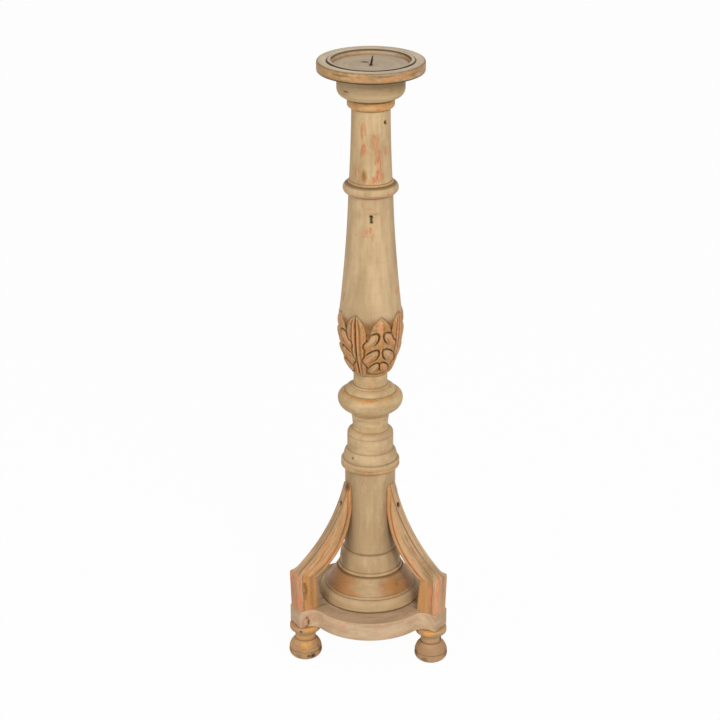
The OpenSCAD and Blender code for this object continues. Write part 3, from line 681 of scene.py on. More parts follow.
# The back of the recess lip is darkened as painted shadow. The turned groove is a dark line with painted
# shadow, wider and stronger at the front. The rim's lower edge under the plate gets painted shade, and the
# recess floor is a little darker.
lip_back_shadow = bell(plate_r, 45.4, 0.9) * upper * (0.25 + 0.75 * smooth_step(-12, 6, plate_at[:, 1]))
shade_line = bell(plate_r, 61.0, 0.9) * upper * (0.35 + 0.2 * np.abs(plate_at[:, 0]) / 62)
groove_line_shadow = bell(plate_r, GROOVE_DARK_R, 0.35 + 1.5 * front) * upper
store(drip_plate.data, crease=np.maximum.reduce([
    read_mark(drip_plate.data, "crease"),
    bell(plate_r, GROOVE_DARK_R, 0.5 + 1.6 * front) * upper, 0.9 * lip_back_shadow,
    0.17 * (plate_r < 44.6) * (plate_at[:, 2] < Z_TOP - 1.5), shade_line,
    bell(plate_at[:, 2], Z_PLATE, 2.2) * (plate_r > 40)]),
    hole=(0.3 + 0.7 * front) * groove_line_shadow + 0.45 * lip_back_shadow
    + 0.75 * bell(plate_at[:, 2], Z_PLATE, 1.5) * (plate_r > 52))
# A dark spot and a coral patch lie on the recess floor near the spike.
touch_up(drip_plate, coral=[(-0.5, 0.5, Z_RECESS, 3.4, 0.5)], hole=[(-7.4, 12.6, Z_RECESS, 2.4, 0.6)],
         crease=[(-8.7, 12.6, Z_RECESS, 3.4, 1.0), (-6.0, 12.2, Z_RECESS, 3.0, 1.0),
                 (-10.6, 12.4, Z_RECESS, 2.4, 0.9)])
stand_for(drip_plate, "plate_paint", "drip_plate")

# %% Pricket spike
SPIKE_LEAN = math.radians(10)
pricket_spike = turn("pricket_spike_forged", [
    (0, -21.6), (1.7, -21.6), (1.7, 0.2), (1.25, 1.6), (1.15, 6.4), (0.8, 9.4), (0.2, 11.6), (0, 11.6)],
    iron, steps=28, waviness=0.2, seed=3.0, gap=0.4)
pricket_spike.data.transform(Matrix.Translation((0, 0, Z_RECESS * MM))
                             @ Matrix.Rotation(SPIKE_LEAN, 4, "Y"))
stand_for(pricket_spike, "iron", "pricket_spike")

# %% [markdown]
# Below the plate the capital widens like a cup above a gilt ring, and the
# upper shaft carries it on hollow sides. The shaft's front shows most coral.

# %% Capital
Z_CAPITAL = 686.3
capital = turn("capital_turned", [
    (0, Z_CAPITAL), (22.5, Z_CAPITAL), (22.6, Z_CAPITAL + 1, 0.4)]
    + arc(24, Z_CAPITAL + 4.5, 3.5, -80, 0, 8, 1.0) + arc(24, Z_CAPITAL + 8.5, 3.5, 0, 80, 8, 1.0)
    + sweep(31.2, Z_CAPITAL + 12, 6.5, 1.2, 180, 100, 5, 0.25)
    + sweep(29.5, Z_CAPITAL + 24, 9.8, 10.8, -80, 0, 14, 0.1)
    + [(39.3, Z_PLATE), (0, Z_PLATE)],
    paints["stem_paint_worn"], seed=4.0, around=0.8)
# The front of the gilt ring is lightened as a painted highlight. Round the top of the cup, under the plate,
# the paint is darkened as painted shade; the line above the ring is a dark joint.
dab(capital, ridge=[(0, Z_CAPITAL + 6.5, 14, 4.5, 0.9)],
    crease=[(0, Z_PLATE - 0.5, ALL_ROUND, 2.4, 1.0), (0, Z_PLATE, ALL_ROUND, 30, 0.3),
            (0, Z_CAPITAL + 12.2, ALL_ROUND, 1.2, 0.75), (-43, 712, 5, 1.0, 1.0)],
    coral=[(-43, 711.5, 5, 1.2, 0.95), (15, 690, 9, 2, 0.45), (-30, 698, 8, 1.2, 0.6),
           (30, 697.5, 8, 1.2, 0.6)])
stand_for(capital, "stem_paint", "capital")

# %% Upper shaft
Z_UPPER = 598.3
UPPER_R = 22.5
UPPER_FLARE = 2.6
UPPER_FOOT, UPPER_H = 2.5, 85.5
upper_side = [(UPPER_R + UPPER_FLARE * (0.2 * (1 - t) + 0.8 * (1 - t) ** 2),
               Z_UPPER + UPPER_FOOT + UPPER_H * t) for t in np.linspace(0, 1, 13)]
upper_shaft = turn("upper_shaft_turned", [(0, Z_UPPER), (26.7, Z_UPPER, 0.9)]
                   + arc(25.9, Z_UPPER + 1.7, 0.8, 0, 90, 5, 0.9) + upper_side + [(0, Z_CAPITAL)],
                   paints["stem_paint_worn"], steps=240, seed=5.0, around=-0.08)
dab(upper_shaft, coral=[
    (-20, 663, 4, 12, 0.72), (-18, 643, 3.4, 9, 0.72), (10, 655, 4, 7, 0.62), (18, 650, 4.5, 13, 0.75),
    (24, 631, 5.5, 14, 0.85), (28, 613, 6, 10, 0.85), (8, 606, 6, 6, 0.7), (-38, 612, 4, 14, 0.7),
    (0, 642, 4, 5, 0.55), (50, 640, 3, 8, 0.6), (95, 640, 6, 18, 0.6), (160, 655, 7, 16, 0.6),
    (220, 620, 8, 14, 0.62), (-80, 650, 5, 14, 0.55)],
    crease=[(-16, 611, 3.4, 8, 0.66), (-17, 613, 1.8, 6.5, 0.8), (-26, 637, 1.2, 7, 0.4),
            (0, 642, ALL_ROUND, 60, 0.09)],
    gilt=[(-16, 611, 4.4, 8.5, 1.0), (-26, 637, 2.0, 8, 0.6)])
bore(upper_shaft, [(50, 673, 1.8, 2.2), (53, 671.4, 1.3, 1.6)])
stand_for(upper_shaft, "stem_paint", "upper_shaft")

# %% [markdown]
# The vase is plain, with a bead on top. Old screw holes with a ghost of red
# paint round them show below the bead. The vase and the carved leaf cup under
# it are one solid, and here they are two meshes that meet in a level seam.

# %% Vase
Z_LEAF = 365.3
LEAF_H = 70.0
VASE_H = 150.0
SEAM_H = 84.0
VASE_NECK, VASE_SWELL = 26, 11.2
Z_BEAD = Z_LEAF + LEAF_H + VASE_H
BEAD = 6.5


def vase_radius(h):
    """Radius of the plain vase at height h above the leaf cup's foot."""
    t = np.clip(1 - (np.asarray(h, float) - LEAF_H) / VASE_H, 0, 1)
    return VASE_NECK + VASE_SWELL * (0.1 * t + 0.9 * t ** 1.55)


vase_side = [(float(vase_radius(h)), Z_LEAF + h) for h in np.linspace(SEAM_H, LEAF_H + VASE_H, 24)]
vase = turn("vase_turned", [(0, Z_LEAF + SEAM_H)] + vase_side
            + [(26.4, Z_BEAD, 0.6)] + arc(25.9, Z_BEAD + BEAD, BEAD, -85, -20, 9, 0.45)
            + arc(25.9, Z_BEAD + BEAD, BEAD, -10, 84, 11, 0.3)
            + [(26.0, Z_UPPER - 0.1, 0.6), (0, Z_UPPER)],
            paints["stem_paint"], steps=264, waviness=0.0, seed=6.0, worn=0, around=-0.12)
dab(vase, crease=[
    (0, Z_UPPER - 0.3, ALL_ROUND, 1.6, 0.9), (0, Z_BEAD + 0.2, ALL_ROUND, 1.0, 0.7),
    (-28, 565, 4, 7, 0.3), (12, 567, 9, 2, 0.3)],
    coral=[(-22, 587, 12, 1.6, 0.7), (14, 588, 14, 1.6, 0.7), (48, 590, 8, 2, 0.6),
           (-4, 573, 12, 2.4, 0.4), (-14, 566, 2.4, 5, 0.4), (16, 566, 2.4, 6, 0.4),
           (-8, 546, 4, 6, 0.45), (2, 548, 3, 7, 0.45), (8, 538, 2.4, 9, 0.42),
           (-30, 541, 8, 2, 0.38), (-12, 540, 8, 2, 0.4), (-20, 577, 4, 4, 0.4), (30, 560, 2.4, 8, 0.4),
           (-62, 462, 5, 9, 0.5), (68, 470, 4, 9, 0.55), (115, 520, 5, 20, 0.5),
           (190, 500, 8, 22, 0.5), (-120, 545, 6, 16, 0.5)])
bore(vase, [(3.4, 563.6, 1.7, 2.6), (5.0, 562.6, 1.5, 2.6), (4.0, 560.0, 1.5, 2.0), (4.6, 557.2, 1.7, 2.6)])
above_seam = read_points(vase.data)[:, 2] > (Z_LEAF + SEAM_H + 2) * MM
for mark in ("crease", "ridge"):
    store(vase.data, **{mark: read_mark(vase.data, mark) * above_seam})
stand_for(vase, "stem_paint", "leaf_shaft")

# %% [markdown]
# The leaf cup is the carver's work. Broad leaves with three tiers of drooping
# tongues take turns with tall ribbed leaves and lie over them. A carver cuts
# down from the face of the leaves, so here the cup is a fine grid whose radius
# is the ground plus a height field: leaf plates, domed tongues with a cut
# round their heads, ribs and flutes. A sculpted mesh would do as well, but it
# could not follow the sizes.

# %% Leaf outlines
LEAF_PAIRS = 4
LEAF_TURN = math.radians(23)
RIBBED_LAG = 0.46
BROAD_SPREAD = 1.1
RELIEF = 2.4
BELLY_R = 37.2
FOOT_R = 24.0
LEAF_HALF = 1.3 * math.pi * 2 * BELLY_R / (4 * LEAF_PAIRS)


def edge_distance(points, x, y):
    """Distance inside a closed outline, negative outside."""
    best = np.full(x.shape, 1e9)
    inside = np.zeros(x.shape, bool)
    for (ax, ay), (bx, by) in zip(points, points[1:] + points[:1]):
        dx, dy = bx - ax, by - ay
        t = np.clip(((x - ax) * dx + (y - ay) * dy) / (dx * dx + dy * dy), 0, 1)
        best = np.minimum(best, np.hypot(x - ax - t * dx, y - ay - t * dy))
        crosses = (ay > y) != (by > y)
        inside ^= crosses & (x < ax + (y - ay) * dx / np.where(dy == 0, 1e-9, dy))
    return np.where(inside, best, -best)


def leaf_edge(half):
    """A whole outline from its right half, given as shares of the leaf's sizes."""
    half = [(x * LEAF_HALF, y * LEAF_H) for x, y in half]
    return half + [(-x, y) for x, y in reversed(half) if x > 0]


def scallop(x, y, r, start, end):
    """A lobe of a leaf's edge, round in millimetres, as shares of the leaf's sizes."""
    return sweep(x, y, r, r * LEAF_HALF / LEAF_H, start, end, 10)


BROAD_EDGE = leaf_edge(
    [(0.26, 0.04)] + scallop(0.34, 0.13, 0.28, -40, 30) + scallop(0.60, 0.33, 0.36, -48, 36)
    + scallop(0.63, 0.60, 0.36, -44, 62)
    + [(0.66, 0.775), (0.60, 0.89), (0.48, 0.975), (0.24, 1.06), (0, 1.11)])
RIBBED_EDGE = leaf_edge([(0.40, 0.0), (0.60, 0.4), (0.67, 0.6), (0.70, 0.84), (0.56, 0.985),
                         (0.30, 1.08), (0, 1.13)])
print("broad leaf half width", round(LEAF_HALF, 2), "mm")

# %% Height field of the leaves
# Middle, lean in degrees, half length and half width of the right tongues
TONGUES = ((11.4, 48.4, 38, 10.4, 5.4), (10.6, 27.0, 38, 10.4, 5.3), (6.1, 10.6, 26, 8.2, 4.4))
# Half width of a ribbed leaf at some heights
RIBBED_AT = (0, 28, 42, 58, 69, 79)
RIBBED_HALF = (7.6, 11.4, 12.7, 13.3, 10.6, 5.0)


def tongue(x, y, cx, cy, lean, long, wide):
    """Body, head, cut over the head and middle strip of one drooping tongue; the strip is rubbed paint that
    also stands in for the tongue's highlight.
    """
    c, t = math.cos(math.radians(lean)), math.sin(math.radians(lean))
    down = (-(y - cy) * c + (x - cx) * t) / long
    side = ((x - cx) * c + (y - cy) * t) / wide
    away = np.hypot(side, down)
    body = np.clip(1 - away ** 2, 0, 1)
    head = smooth_step(0.75, -0.75, down)
    cut = bell(away, 1.16, 0.14) * smooth_step(0.5, -0.3, down)
    strip = bell(side, 0.1, 0.4) * smooth_step(1.1, 0.6, away)
    return body, head, cut, strip


def broad_height(x, y):
    """Height, depth inside the edge, and strength of the rubbed paint and painted highlight on a broad
    leaf.
    """
    inside = edge_distance(BROAD_EDGE, x, y)
    plate = smooth_step(-0.25, 1.1, inside)
    height = 1.25 * plate + 0.45 * smooth_step(0, 4, inside)
    leaf_rub_and_highlight = np.zeros_like(x)
    cuts = np.zeros_like(x)
    for values in TONGUES:
        body, head, cut, strip = tongue(np.abs(x), y, *values)
        height += plate * np.sqrt(body) * (0.25 + 1.15 * head)
        leaf_rub_and_highlight = np.maximum(leaf_rub_and_highlight, strip * (0.6 + 0.4 * head))
        cuts = np.maximum(cuts, cut * (1 - smooth_step(0.0, 0.2, body)))
    rib = bell(x, 0, 1.5 + 0.06 * (70 - y) / 10) * smooth_step(14, 24, y) * smooth_step(72, 60, y)
    height += 0.6 * plate * rib
    crown = np.clip(1 - np.hypot(x / 10.5, (y - 66) / 11) ** 2, 0, 1)
    height += 0.7 * plate * np.sqrt(crown)
    height -= 0.7 * plate * bell(x, 2.4, 0.9) * smooth_step(56, 62, y) * smooth_step(76, 70, y)
    leaf_rub_and_highlight = np.maximum(leaf_rub_and_highlight, 0.8 * crown * bell(x, -1.5, 4.0))
    return height - 2.0 * plate * cuts, inside, leaf_rub_and_highlight * plate


def ribbed_height(x, y):
    """Height, depth inside the edge, and strength of the rubbed paint and painted highlight on a ribbed
    leaf.
    """
    inside = edge_distance(RIBBED_EDGE, x, y)
    plate = smooth_step(-0.25, 0.8, inside)
    u = np.abs(x) / np.interp(y, RIBBED_AT, RIBBED_HALF)
    height = plate * (1.35 + 1.0 * bell(u, 0.23, 0.12) + 0.55 * bell(u, 0.68, 0.2))
    height -= plate * 1.7 * bell(x, 0, 0.8 + 0.008 * y)
    height -= plate * 0.65 * bell(u, 0.44, 0.09) * smooth_step(2, 12, y)
    height -= plate * 0.2 * bell(u, 0.86, 0.06) * smooth_step(8, 20, y)
    leaf_rub_and_highlight = plate * (0.8 * bell(u, 0.23, 0.10) + 0.45 * bell(u, 0.68, 0.14))
    return height, inside, leaf_rub_and_highlight


print(2 * len(TONGUES), "tongues on a broad leaf")

# %% Grid of the leaf cup
COLUMNS = 512
ROWS = 184
CHANCE_SEED = 7
LEAF_ARC, OFF_LEAF = 0.75, 99.0


def blur(field, reach):
    for _ in range(reach):
        field = (np.roll(field, 1, 1) + 2 * field + np.roll(field, -1, 1)) / 4
        padded = np.vstack([field[:1], field, field[-1:]])
        field = (padded[:-2] + 2 * field + padded[2:]) / 4
    return field


def ground_radius(h):
    """Radius of the cup between the leaves."""
    u = np.clip(h / LEAF_H, 0, 1)
    face = FOOT_R + (BELLY_R + 2 - FOOT_R) * (1 - (1 - u) ** 2.8)
    cup = face - RELIEF * np.minimum(1, 0.35 + 3 * u)
    blend_up = smooth_step(LEAF_H - 14, LEAF_H, h)
    return cup * (1 - blend_up) + np.minimum(vase_radius(h), cup + 4 * blend_up) * blend_up


def leaf_cup_grid():
    """Ground, carved height, leaf mask, strength of rubbed paint and painted highlight, and the painted
    shade along the leaf edges over the unrolled cup.
    """
    h = np.linspace(0, SEAM_H, ROWS)[:, None] * np.ones((1, COLUMNS))
    around = np.linspace(0, 2 * math.pi, COLUMNS, endpoint=False)[None, :] * np.ones((ROWS, 1))
    ground = ground_radius(h)
    total, leaf, leaf_rub_and_highlight, rim = (np.zeros_like(h) for _ in range(4))
    step = 2 * math.pi / LEAF_PAIRS
    for lag, spread, shape in ((RIBBED_LAG, 1.0, ribbed_height), (0.0, BROAD_SPREAD, broad_height)):
        for k in range(LEAF_PAIRS):
            off = (around - LEAF_TURN - step * (k + lag) + math.pi) % (2 * math.pi) - math.pi
            near = np.abs(off) < LEAF_ARC
            x = np.where(near, (ground + 1.5) * np.sin(np.clip(off, -0.9, 0.9)), OFF_LEAF)
            height, inside, bright = shape(x / spread, h)
            height, bright = np.where(near, height, 0), np.where(near, bright, 0)
            inside = np.where(near, inside, -9)
            cover = smooth_step(-0.9, 0.1, inside)
            # Just outside each leaf's edge the ground gets a dark rim of painted shade.
            rim = np.maximum(rim * (1 - cover), bell(inside, -0.6, 0.75))
            if shape is broad_height:
                total = total * (1 - cover) + height * cover
                total -= 0.9 * bell(inside, -0.7, 0.55) * (leaf > 0.5)
                leaf_rub_and_highlight = leaf_rub_and_highlight * (1 - cover) + bright * cover
            else:
                total = np.maximum(total, height)
                leaf_rub_and_highlight = np.maximum(leaf_rub_and_highlight, bright)
            leaf = np.maximum(leaf, smooth_step(-0.3, 0.5, inside))
    total *= 0.55 + 0.45 * smooth_step(0, 5, h)
    return h, around, ground, total, leaf, leaf_rub_and_highlight, rim


def leaf_marks(h, total, leaf, leaf_rub_and_highlight, rim):
    """Gilding, dirt with painted shade, rubbed edges with painted highlights, and bare ground of the cup.
    """
    chance = np.random.default_rng(CHANCE_SEED)
    patches = blur(chance.random(h.shape), 26)
    patches = (patches - patches.min()) / np.ptp(patches)
    flakes = blur(chance.random(h.shape), 7)
    flakes = np.clip(2.2 * (flakes - flakes.min()) / np.ptp(flakes) - 0.6, 0, 1)
    near_mean, wide_mean = blur(total, 10), blur(total, 40)
    # The carving's hollows are darkened with dirt and painted shade, and so is the ground round the leaf
    # tips; the dark rim along the leaf edges is painted shade.
    crease = 0.9 * np.clip((near_mean - total) / 0.75, 0, 1)
    crease = blur(crease + 0.6 * np.clip((wide_mean - total) / 1.5, 0, 1), 2) * (0.62 + 0.5 * patches)
    near_leaf = smooth_step(80, 66, h + 9 * (patches - 0.5)) * (1 - leaf)
    halo = blur(leaf, 40) * (1 - leaf) * smooth_step(84, 70, h)
    foot_line = bell(h, 0, 1.3)
    leaf_grime_and_shade = np.maximum(2.0 * halo, 0.6 * near_leaf) * (0.4 + patches)
    gilt = leaf * (0.4 + 0.35 * patches + 0.6 * flakes - 0.45 * leaf_rub_and_highlight)
    ridge = np.clip((total - near_mean) / 0.4, 0, 1)
    coral = 0.06 + 0.85 * leaf_rub_and_highlight * (0.3 + patches) + 0.4 * np.clip(flakes - 0.7, 0, 1)
    return {"gilt": np.maximum(gilt, 0.9 * near_leaf) * (1 - foot_line),
            "crease": np.maximum.reduce([crease * np.maximum(leaf, 0.5), leaf_grime_and_shade,
                                         rim * (0.25 + 0.65 * patches)]) * (1 - foot_line),
            "ridge": np.maximum.reduce([ridge * leaf, 0.75 * leaf_rub_and_highlight * leaf, 0.9 * foot_line]),
            "coral": leaf * np.clip(coral, 0, 0.8)}


print("leaf cup grid", COLUMNS, "by", ROWS)

# %% Leaf cup
def make_leaf_cup():
    h, around, ground, total, leaf, leaf_rub_and_highlight, rim = leaf_cup_grid()
    radius = ground + total
    points = np.stack([radius * np.sin(around), -radius * np.cos(around), Z_LEAF + h], 2) * MM
    ends = [(0, 0, Z_LEAF * MM), (0, 0, (Z_LEAF + SEAM_H) * MM)]
    low, last = ROWS * COLUMNS, (ROWS - 1) * COLUMNS
    # Each end closes on a point of the axis
    faces = ring_faces(ROWS, COLUMNS)[:-2]
    faces += [(i, low, (i + 1) % COLUMNS) for i in range(COLUMNS)]
    faces += [(last + i, last + (i + 1) % COLUMNS, low + 1) for i in range(COLUMNS)]
    marks = {mark: np.concatenate([values.ravel(), [0, 0]])
             for mark, values in leaf_marks(h, total, leaf, leaf_rub_and_highlight, rim).items()}
    mesh = new_mesh("leaf_cup", points.reshape(-1, 3).tolist() + ends, faces, marks)
    return settle("leaf_cup_carved", mesh, paints["leaf_gilt"], around=-0.12)


leaf_cup = make_leaf_cup()
stand_for(leaf_cup, "leaf_gilt", "leaf_shaft")

# %% [markdown]
# Knop, spool collar and pedestal are plain turnings again. Their raised edges
# were gilded, and where two mouldings meet they are darkened with dirt and
# painted shade.

# %% Knop
Z_KNOP = 289.0
NECK_R = 20.2
KNOP_R = 38.9
WAIST_R = 21.3
KNOP_LOW, KNOP_HIGH = 15.3, 16.5
knop_mid = Z_KNOP + 25 + KNOP_LOW
ridge_z = knop_mid + 0.52 * KNOP_HIGH
ridge_r = NECK_R + 0.62 * (KNOP_R - NECK_R)
crown_z = knop_mid + KNOP_HIGH
shoulder = (ridge_r, knop_mid, KNOP_R - ridge_r, ridge_z - knop_mid)
knop = turn("knop_turned", [
    (0, Z_KNOP), (WAIST_R, Z_KNOP, 0.1), (WAIST_R - 0.2, Z_KNOP + 5), (WAIST_R + 0.5, Z_KNOP + 13),
    (WAIST_R + 1.6, Z_KNOP + 20)]
    + arc(WAIST_R + 1.7, Z_KNOP + 23.2, 1.2, -70, 75, 8, 0.9)
    + arc(KNOP_R - KNOP_LOW, knop_mid, KNOP_LOW, -72, 0, 14, 0.08)
    + sweep(*shoulder, 12, 34, 4, 0.15) + sweep(*shoulder, 40, 60, 4, 0.45)
    + sweep(*shoulder, 64, 82, 5, 0.75) + [(ridge_r - 0.9, ridge_z + 0.6, 0.6)]
    + sweep(NECK_R + 1.6, ridge_z + 0.8, ridge_r - 3.0 - NECK_R, crown_z - ridge_z - 1.6, 0, 82, 10, 0.05)
    + [(NECK_R, crown_z + 1.2), (NECK_R, Z_LEAF - 2.4), (21.7, Z_LEAF - 1.6, 0.8), (21.7, Z_LEAF, 0.8),
       (0, Z_LEAF)], paints["stem_paint_worn"], seed=7.0, around=0.5)
# A paler rubbed patch on the front of the knop's top is a painted highlight.
dab(knop, ridge=[(3, 353, 16, 4, 0.7)],
    coral=[(-3, 337, 11, 2.4, 0.42), (27, 329, 6, 3, 0.45), (5, 349, 7, 4, 0.42), (12, 360, 8, 3, 0.45),
           (140, 340, 10, 6, 0.5), (230, 318, 9, 5, 0.5)])
bore(knop, [(-29, 318, 0.9, 0.8)])
stand_for(knop, "stem_paint", "knop")

# %% Spool collar
Z_SPOOL = 241.0
RING_R = 35.3
BARREL_R = 27.6
ROUND = 1.7
collar_top = Z_SPOOL + 9.5
barrel_z = collar_top + 14
shoulder_z = barrel_z + 19
spool_collar = turn("spool_collar_turned", [
    (0, Z_SPOOL), (29.6, Z_SPOOL, 0.2)]
    + arc(RING_R - ROUND, Z_SPOOL + ROUND, ROUND, -90, 0, 6, 0.95)
    + [(RING_R, Z_SPOOL + 3.2, 0.9), (RING_R - 0.5, Z_SPOOL + 3.9, 0.2)]
    + arc(RING_R - ROUND, collar_top - ROUND, ROUND, 0, 90, 6, 0.05)
    + sweep(BARREL_R, collar_top + 0.8, (RING_R - BARREL_R) * 0.62, 12, 0, 84, 12, 0.0)
    + [(BARREL_R, barrel_z), (BARREL_R + 0.1, barrel_z + 8), (BARREL_R, shoulder_z - 1),
       (BARREL_R, shoulder_z)]
    + arc(BARREL_R - 5.5, shoulder_z, 5.5, 8, 90, 10, 0.1) + [(0, Z_KNOP)],
    paints["stem_paint"], seed=8.0, around=0.25)
dab(spool_collar, crease=[(0, barrel_z + 18, ALL_ROUND, 0.9, 0.35)],
    gilt=[(-4, Z_SPOOL + 3.5, 24, 4.5, 0.9)],
    coral=[(-10, Z_SPOOL + 2.4, 9, 2.2, 0.6), (14, Z_SPOOL + 4, 8, 2, 0.5), (-35, 278, 3, 5, 0.5),
           (2, 270, 8, 3, 0.4), (150, 262, 8, 8, 0.5)])
bore(spool_collar, [(-40, 258, 1.2, 1.4)])
stand_for(spool_collar, "stem_paint", "spool_collar")

# %% Pedestal
Z_PED = 106.0
FILLET_H = 3.5
CUSHION_H = 22.5
STEM_H = 108
STEM_R, STEM_FLARE, STEM_HOLLOW = 30.6, 0.9, 0.5
stem_z = Z_PED + FILLET_H + CUSHION_H


def pedestal_radius(z):
    """Radius of the pedestal's stem, a little hollow and flared at its foot."""
    t = np.clip((z - stem_z - 1) / STEM_H, 0, 1)
    return STEM_R + STEM_FLARE * (1 - t) ** 2 - STEM_HOLLOW * np.sin(np.pi * t)


stem_side = [(float(pedestal_radius(z)), z) for z in np.linspace(stem_z + 1, stem_z + 1 + STEM_H, 25)]
pedestal = turn("pedestal_turned", [
    (0, Z_PED), (38.7, Z_PED, 0.5), (39.3, Z_PED + 0.8, 0.5), (39.3, Z_PED + 2.1, 0.5)]
    + arc(37.9, Z_PED + 2.1, 1.4, 15, 90, 6, 0.4) + [(36.8, Z_PED + 3.7, 0.1)]
    + sweep(31.9, Z_PED + FILLET_H + 0.34 * CUSHION_H, 4.9, 0.66 * CUSHION_H - 0.6, 0, 90, 12, 0.1)
    + [(31.0, stem_z)] + stem_side + [(0, Z_SPOOL)], paints["stem_paint"], seed=9.0, around=-0.08)
# Tall bands of painted shade run down the stem beside the three legs; the rings at the stem's foot and top
# are dark joints.
dab(pedestal, crease=[
    (0, stem_z + 0.5, ALL_ROUND, 1.4, 0.55), (0, Z_SPOOL - 0.3, ALL_ROUND, 1.6, 0.6),
    (-54, 175, 13, 62, 0.6), (54, 175, 13, 62, 0.6), (180, 175, 13, 62, 0.55)],
    coral=[(24, 165, 2, 6, 0.4), (120, 180, 6, 20, 0.5), (-110, 170, 6, 18, 0.5)])
stand_for(pedestal, "stem_paint", "pedestal")

# %% Drum
Z_DRUM = 68.5
DRUM_R = 61.0
BAND_H = 8
QUARTER = 6.5
drum_ring_r = DRUM_R - QUARTER
slope_z = Z_DRUM + BAND_H + QUARTER + 2.5
base_drum = turn("base_drum_turned", [
    (0, Z_DRUM), (DRUM_R, Z_DRUM, 0.1), (DRUM_R, Z_DRUM + BAND_H, 0.25)]
    + arc(drum_ring_r, Z_DRUM + BAND_H, QUARTER, 0, 86, 12, 0.35)
    + [(drum_ring_r, slope_z - 0.4, 0.6), (drum_ring_r - 0.6, slope_z, 0.8),
       (drum_ring_r - 1.4, slope_z + 0.3, 1.0), (drum_ring_r - 7.4, slope_z + 10.2, 1.0),
       (drum_ring_r - 13.5, Z_PED - 1.2, 1.0), (drum_ring_r - 14.1, Z_PED, 0.9), (0, Z_PED)],
    paints["drum_gilt"], steps=216, seed=10.0, around=1.0)
# The drum is darkened beside the legs as painted shade; the rings at its foot and top are dark joints.
dab(base_drum, crease=[
    (0, Z_DRUM + 0.3, ALL_ROUND, 2.0, 0.9), (0, Z_PED, ALL_ROUND, 1.6, 0.7), (46, 95, 2.0, 2.0, 0.4),
    (-72, 80, 22, 14, 0.36), (72, 80, 22, 14, 0.36), (180, 80, 40, 14, 0.3)])
# The gilt thins at the front middle, so that the slope shows paler there as a painted highlight; the
# thinned patches at the back are paint.
fade(base_drum, "gilt", [(-2, 97, 19, 16, 0.62), (4, 97, 9, 14, 0.4), (115, 96, 12, 14, 0.7),
                         (235, 96, 14, 14, 0.7)])
stand_for(base_drum, "drum_gilt", "base_drum")

# %% [markdown]
# Three bowed sides and three ears make the base plate. Its plan is drawn once
# as a sixth and mirrored round. Rings of that plan, drawn in a little at the
# top and bottom, give it the rounded edges of sawn and handled wood.

# %% Plan of the base plate
Z_BASE = 45.5
BOW_R = 73.5
BOW_OFFSET = 14.0
EAR_REACH = 102.5
EAR_HALF = 13.0
EAR_FILLET = 14.0
BASE_EDGE = 1.6
PLUG_ALONG, PLUG_Z, PLUG_WIDE, PLUG_TALL = 94.6, 53.0, 3.6, 6.2
LEG_TURNS = {"left": 210, "right": -30, "rear": 90}


def unit(degrees):
    return np.array([math.cos(math.radians(degrees)), math.sin(math.radians(degrees))])


def bearing_of(v):
    return math.degrees(math.atan2(v[1], v[0]))


def turned(points, degrees):
    """Points in plan turned about the axis."""
    c, s = unit(degrees)
    return np.stack([points[:, 0] * c - points[:, 1] * s, points[:, 0] * s + points[:, 1] * c], 1)


def base_plan():
    """Outline of the plate, anticlockwise, in millimetres."""
    bow = BOW_OFFSET * unit(60)
    reach = BOW_R + EAR_FILLET
    side = EAR_HALF + EAR_FILLET
    c = np.array([bow[0] + math.sqrt(reach ** 2 - (side - bow[1]) ** 2), side])
    touch = bow + (c - bow) * BOW_R / reach
    half = [(EAR_REACH, y) for y in np.linspace(0.3, EAR_HALF, 26)]
    half += [(x, EAR_HALF) for x in np.linspace(EAR_REACH - 0.5, c[0], 34)]
    half += [c + EAR_FILLET * unit(a) for a in np.linspace(-90, bearing_of(touch - c) % -360, 9)[1:]]
    half += [bow + BOW_R * unit(a) for a in np.linspace(bearing_of(touch - bow), 60, 26)[1:]]
    half = np.array(half)
    third = np.vstack([half, turned(half * (1, -1), 120)[::-1][1:]])
    return np.vstack([turned(third, LEG_TURNS["right"] + 120 * k) for k in range(3)])


print("plan of", len(base_plan()), "points")

# %% Base plate
def make_base_plate():
    plan = base_plan()
    run = np.roll(plan, -1, 0) - np.roll(plan, 1, 0)
    out = np.stack([run[:, 1], -run[:, 0]], 1)
    out /= np.linalg.norm(out, axis=1, keepdims=True)
    quarter = np.linspace(0, math.pi / 2, 5)
    rounded = [(BASE_EDGE - BASE_EDGE * math.sin(a), BASE_EDGE - BASE_EDGE * math.cos(a)) for a in quarter]
    low, top = Z_BASE, Z_DRUM
    levels = ([(low + drop, draw) for drop, draw in rounded[::-1]]
              + [(z, 0.0) for z in np.linspace(low + BASE_EDGE + 0.5, top - BASE_EDGE - 0.5, 36)]
              + [(top - drop, draw) for drop, draw in rounded])
    flats = [(plan - out * BASE_EDGE) * s for s in np.linspace(0.96, 0.25, 16)]
    rings = ([(flat, low, 0) for flat in flats[::-1]]
             + [(plan - out * draw, z, 0.9 if draw > 0.1 else 0.25) for z, draw in levels]
             + [(flat, top, 0) for flat in flats])
    points = np.vstack([np.column_stack([flat, np.full(len(plan), z)]) for flat, z, _ in rings]) * MM
    ridge = np.repeat([r for _, _, r in rings], len(plan))
    mesh = new_mesh("base_plate", points.tolist(), ring_faces(len(rings), len(plan)), {"ridge": ridge})
    return settle("base_plate_sawn", mesh, paints["base_paint"], around=0.5)


base_plate = make_base_plate()
base_at, _, base_r = polar(base_plate)
along, aside = turned(base_at[:, :2], -LEG_TURNS["left"]).T
plug = np.hypot((along - PLUG_ALONG) / PLUG_WIDE, (base_at[:, 2] - PLUG_Z) / PLUG_TALL)
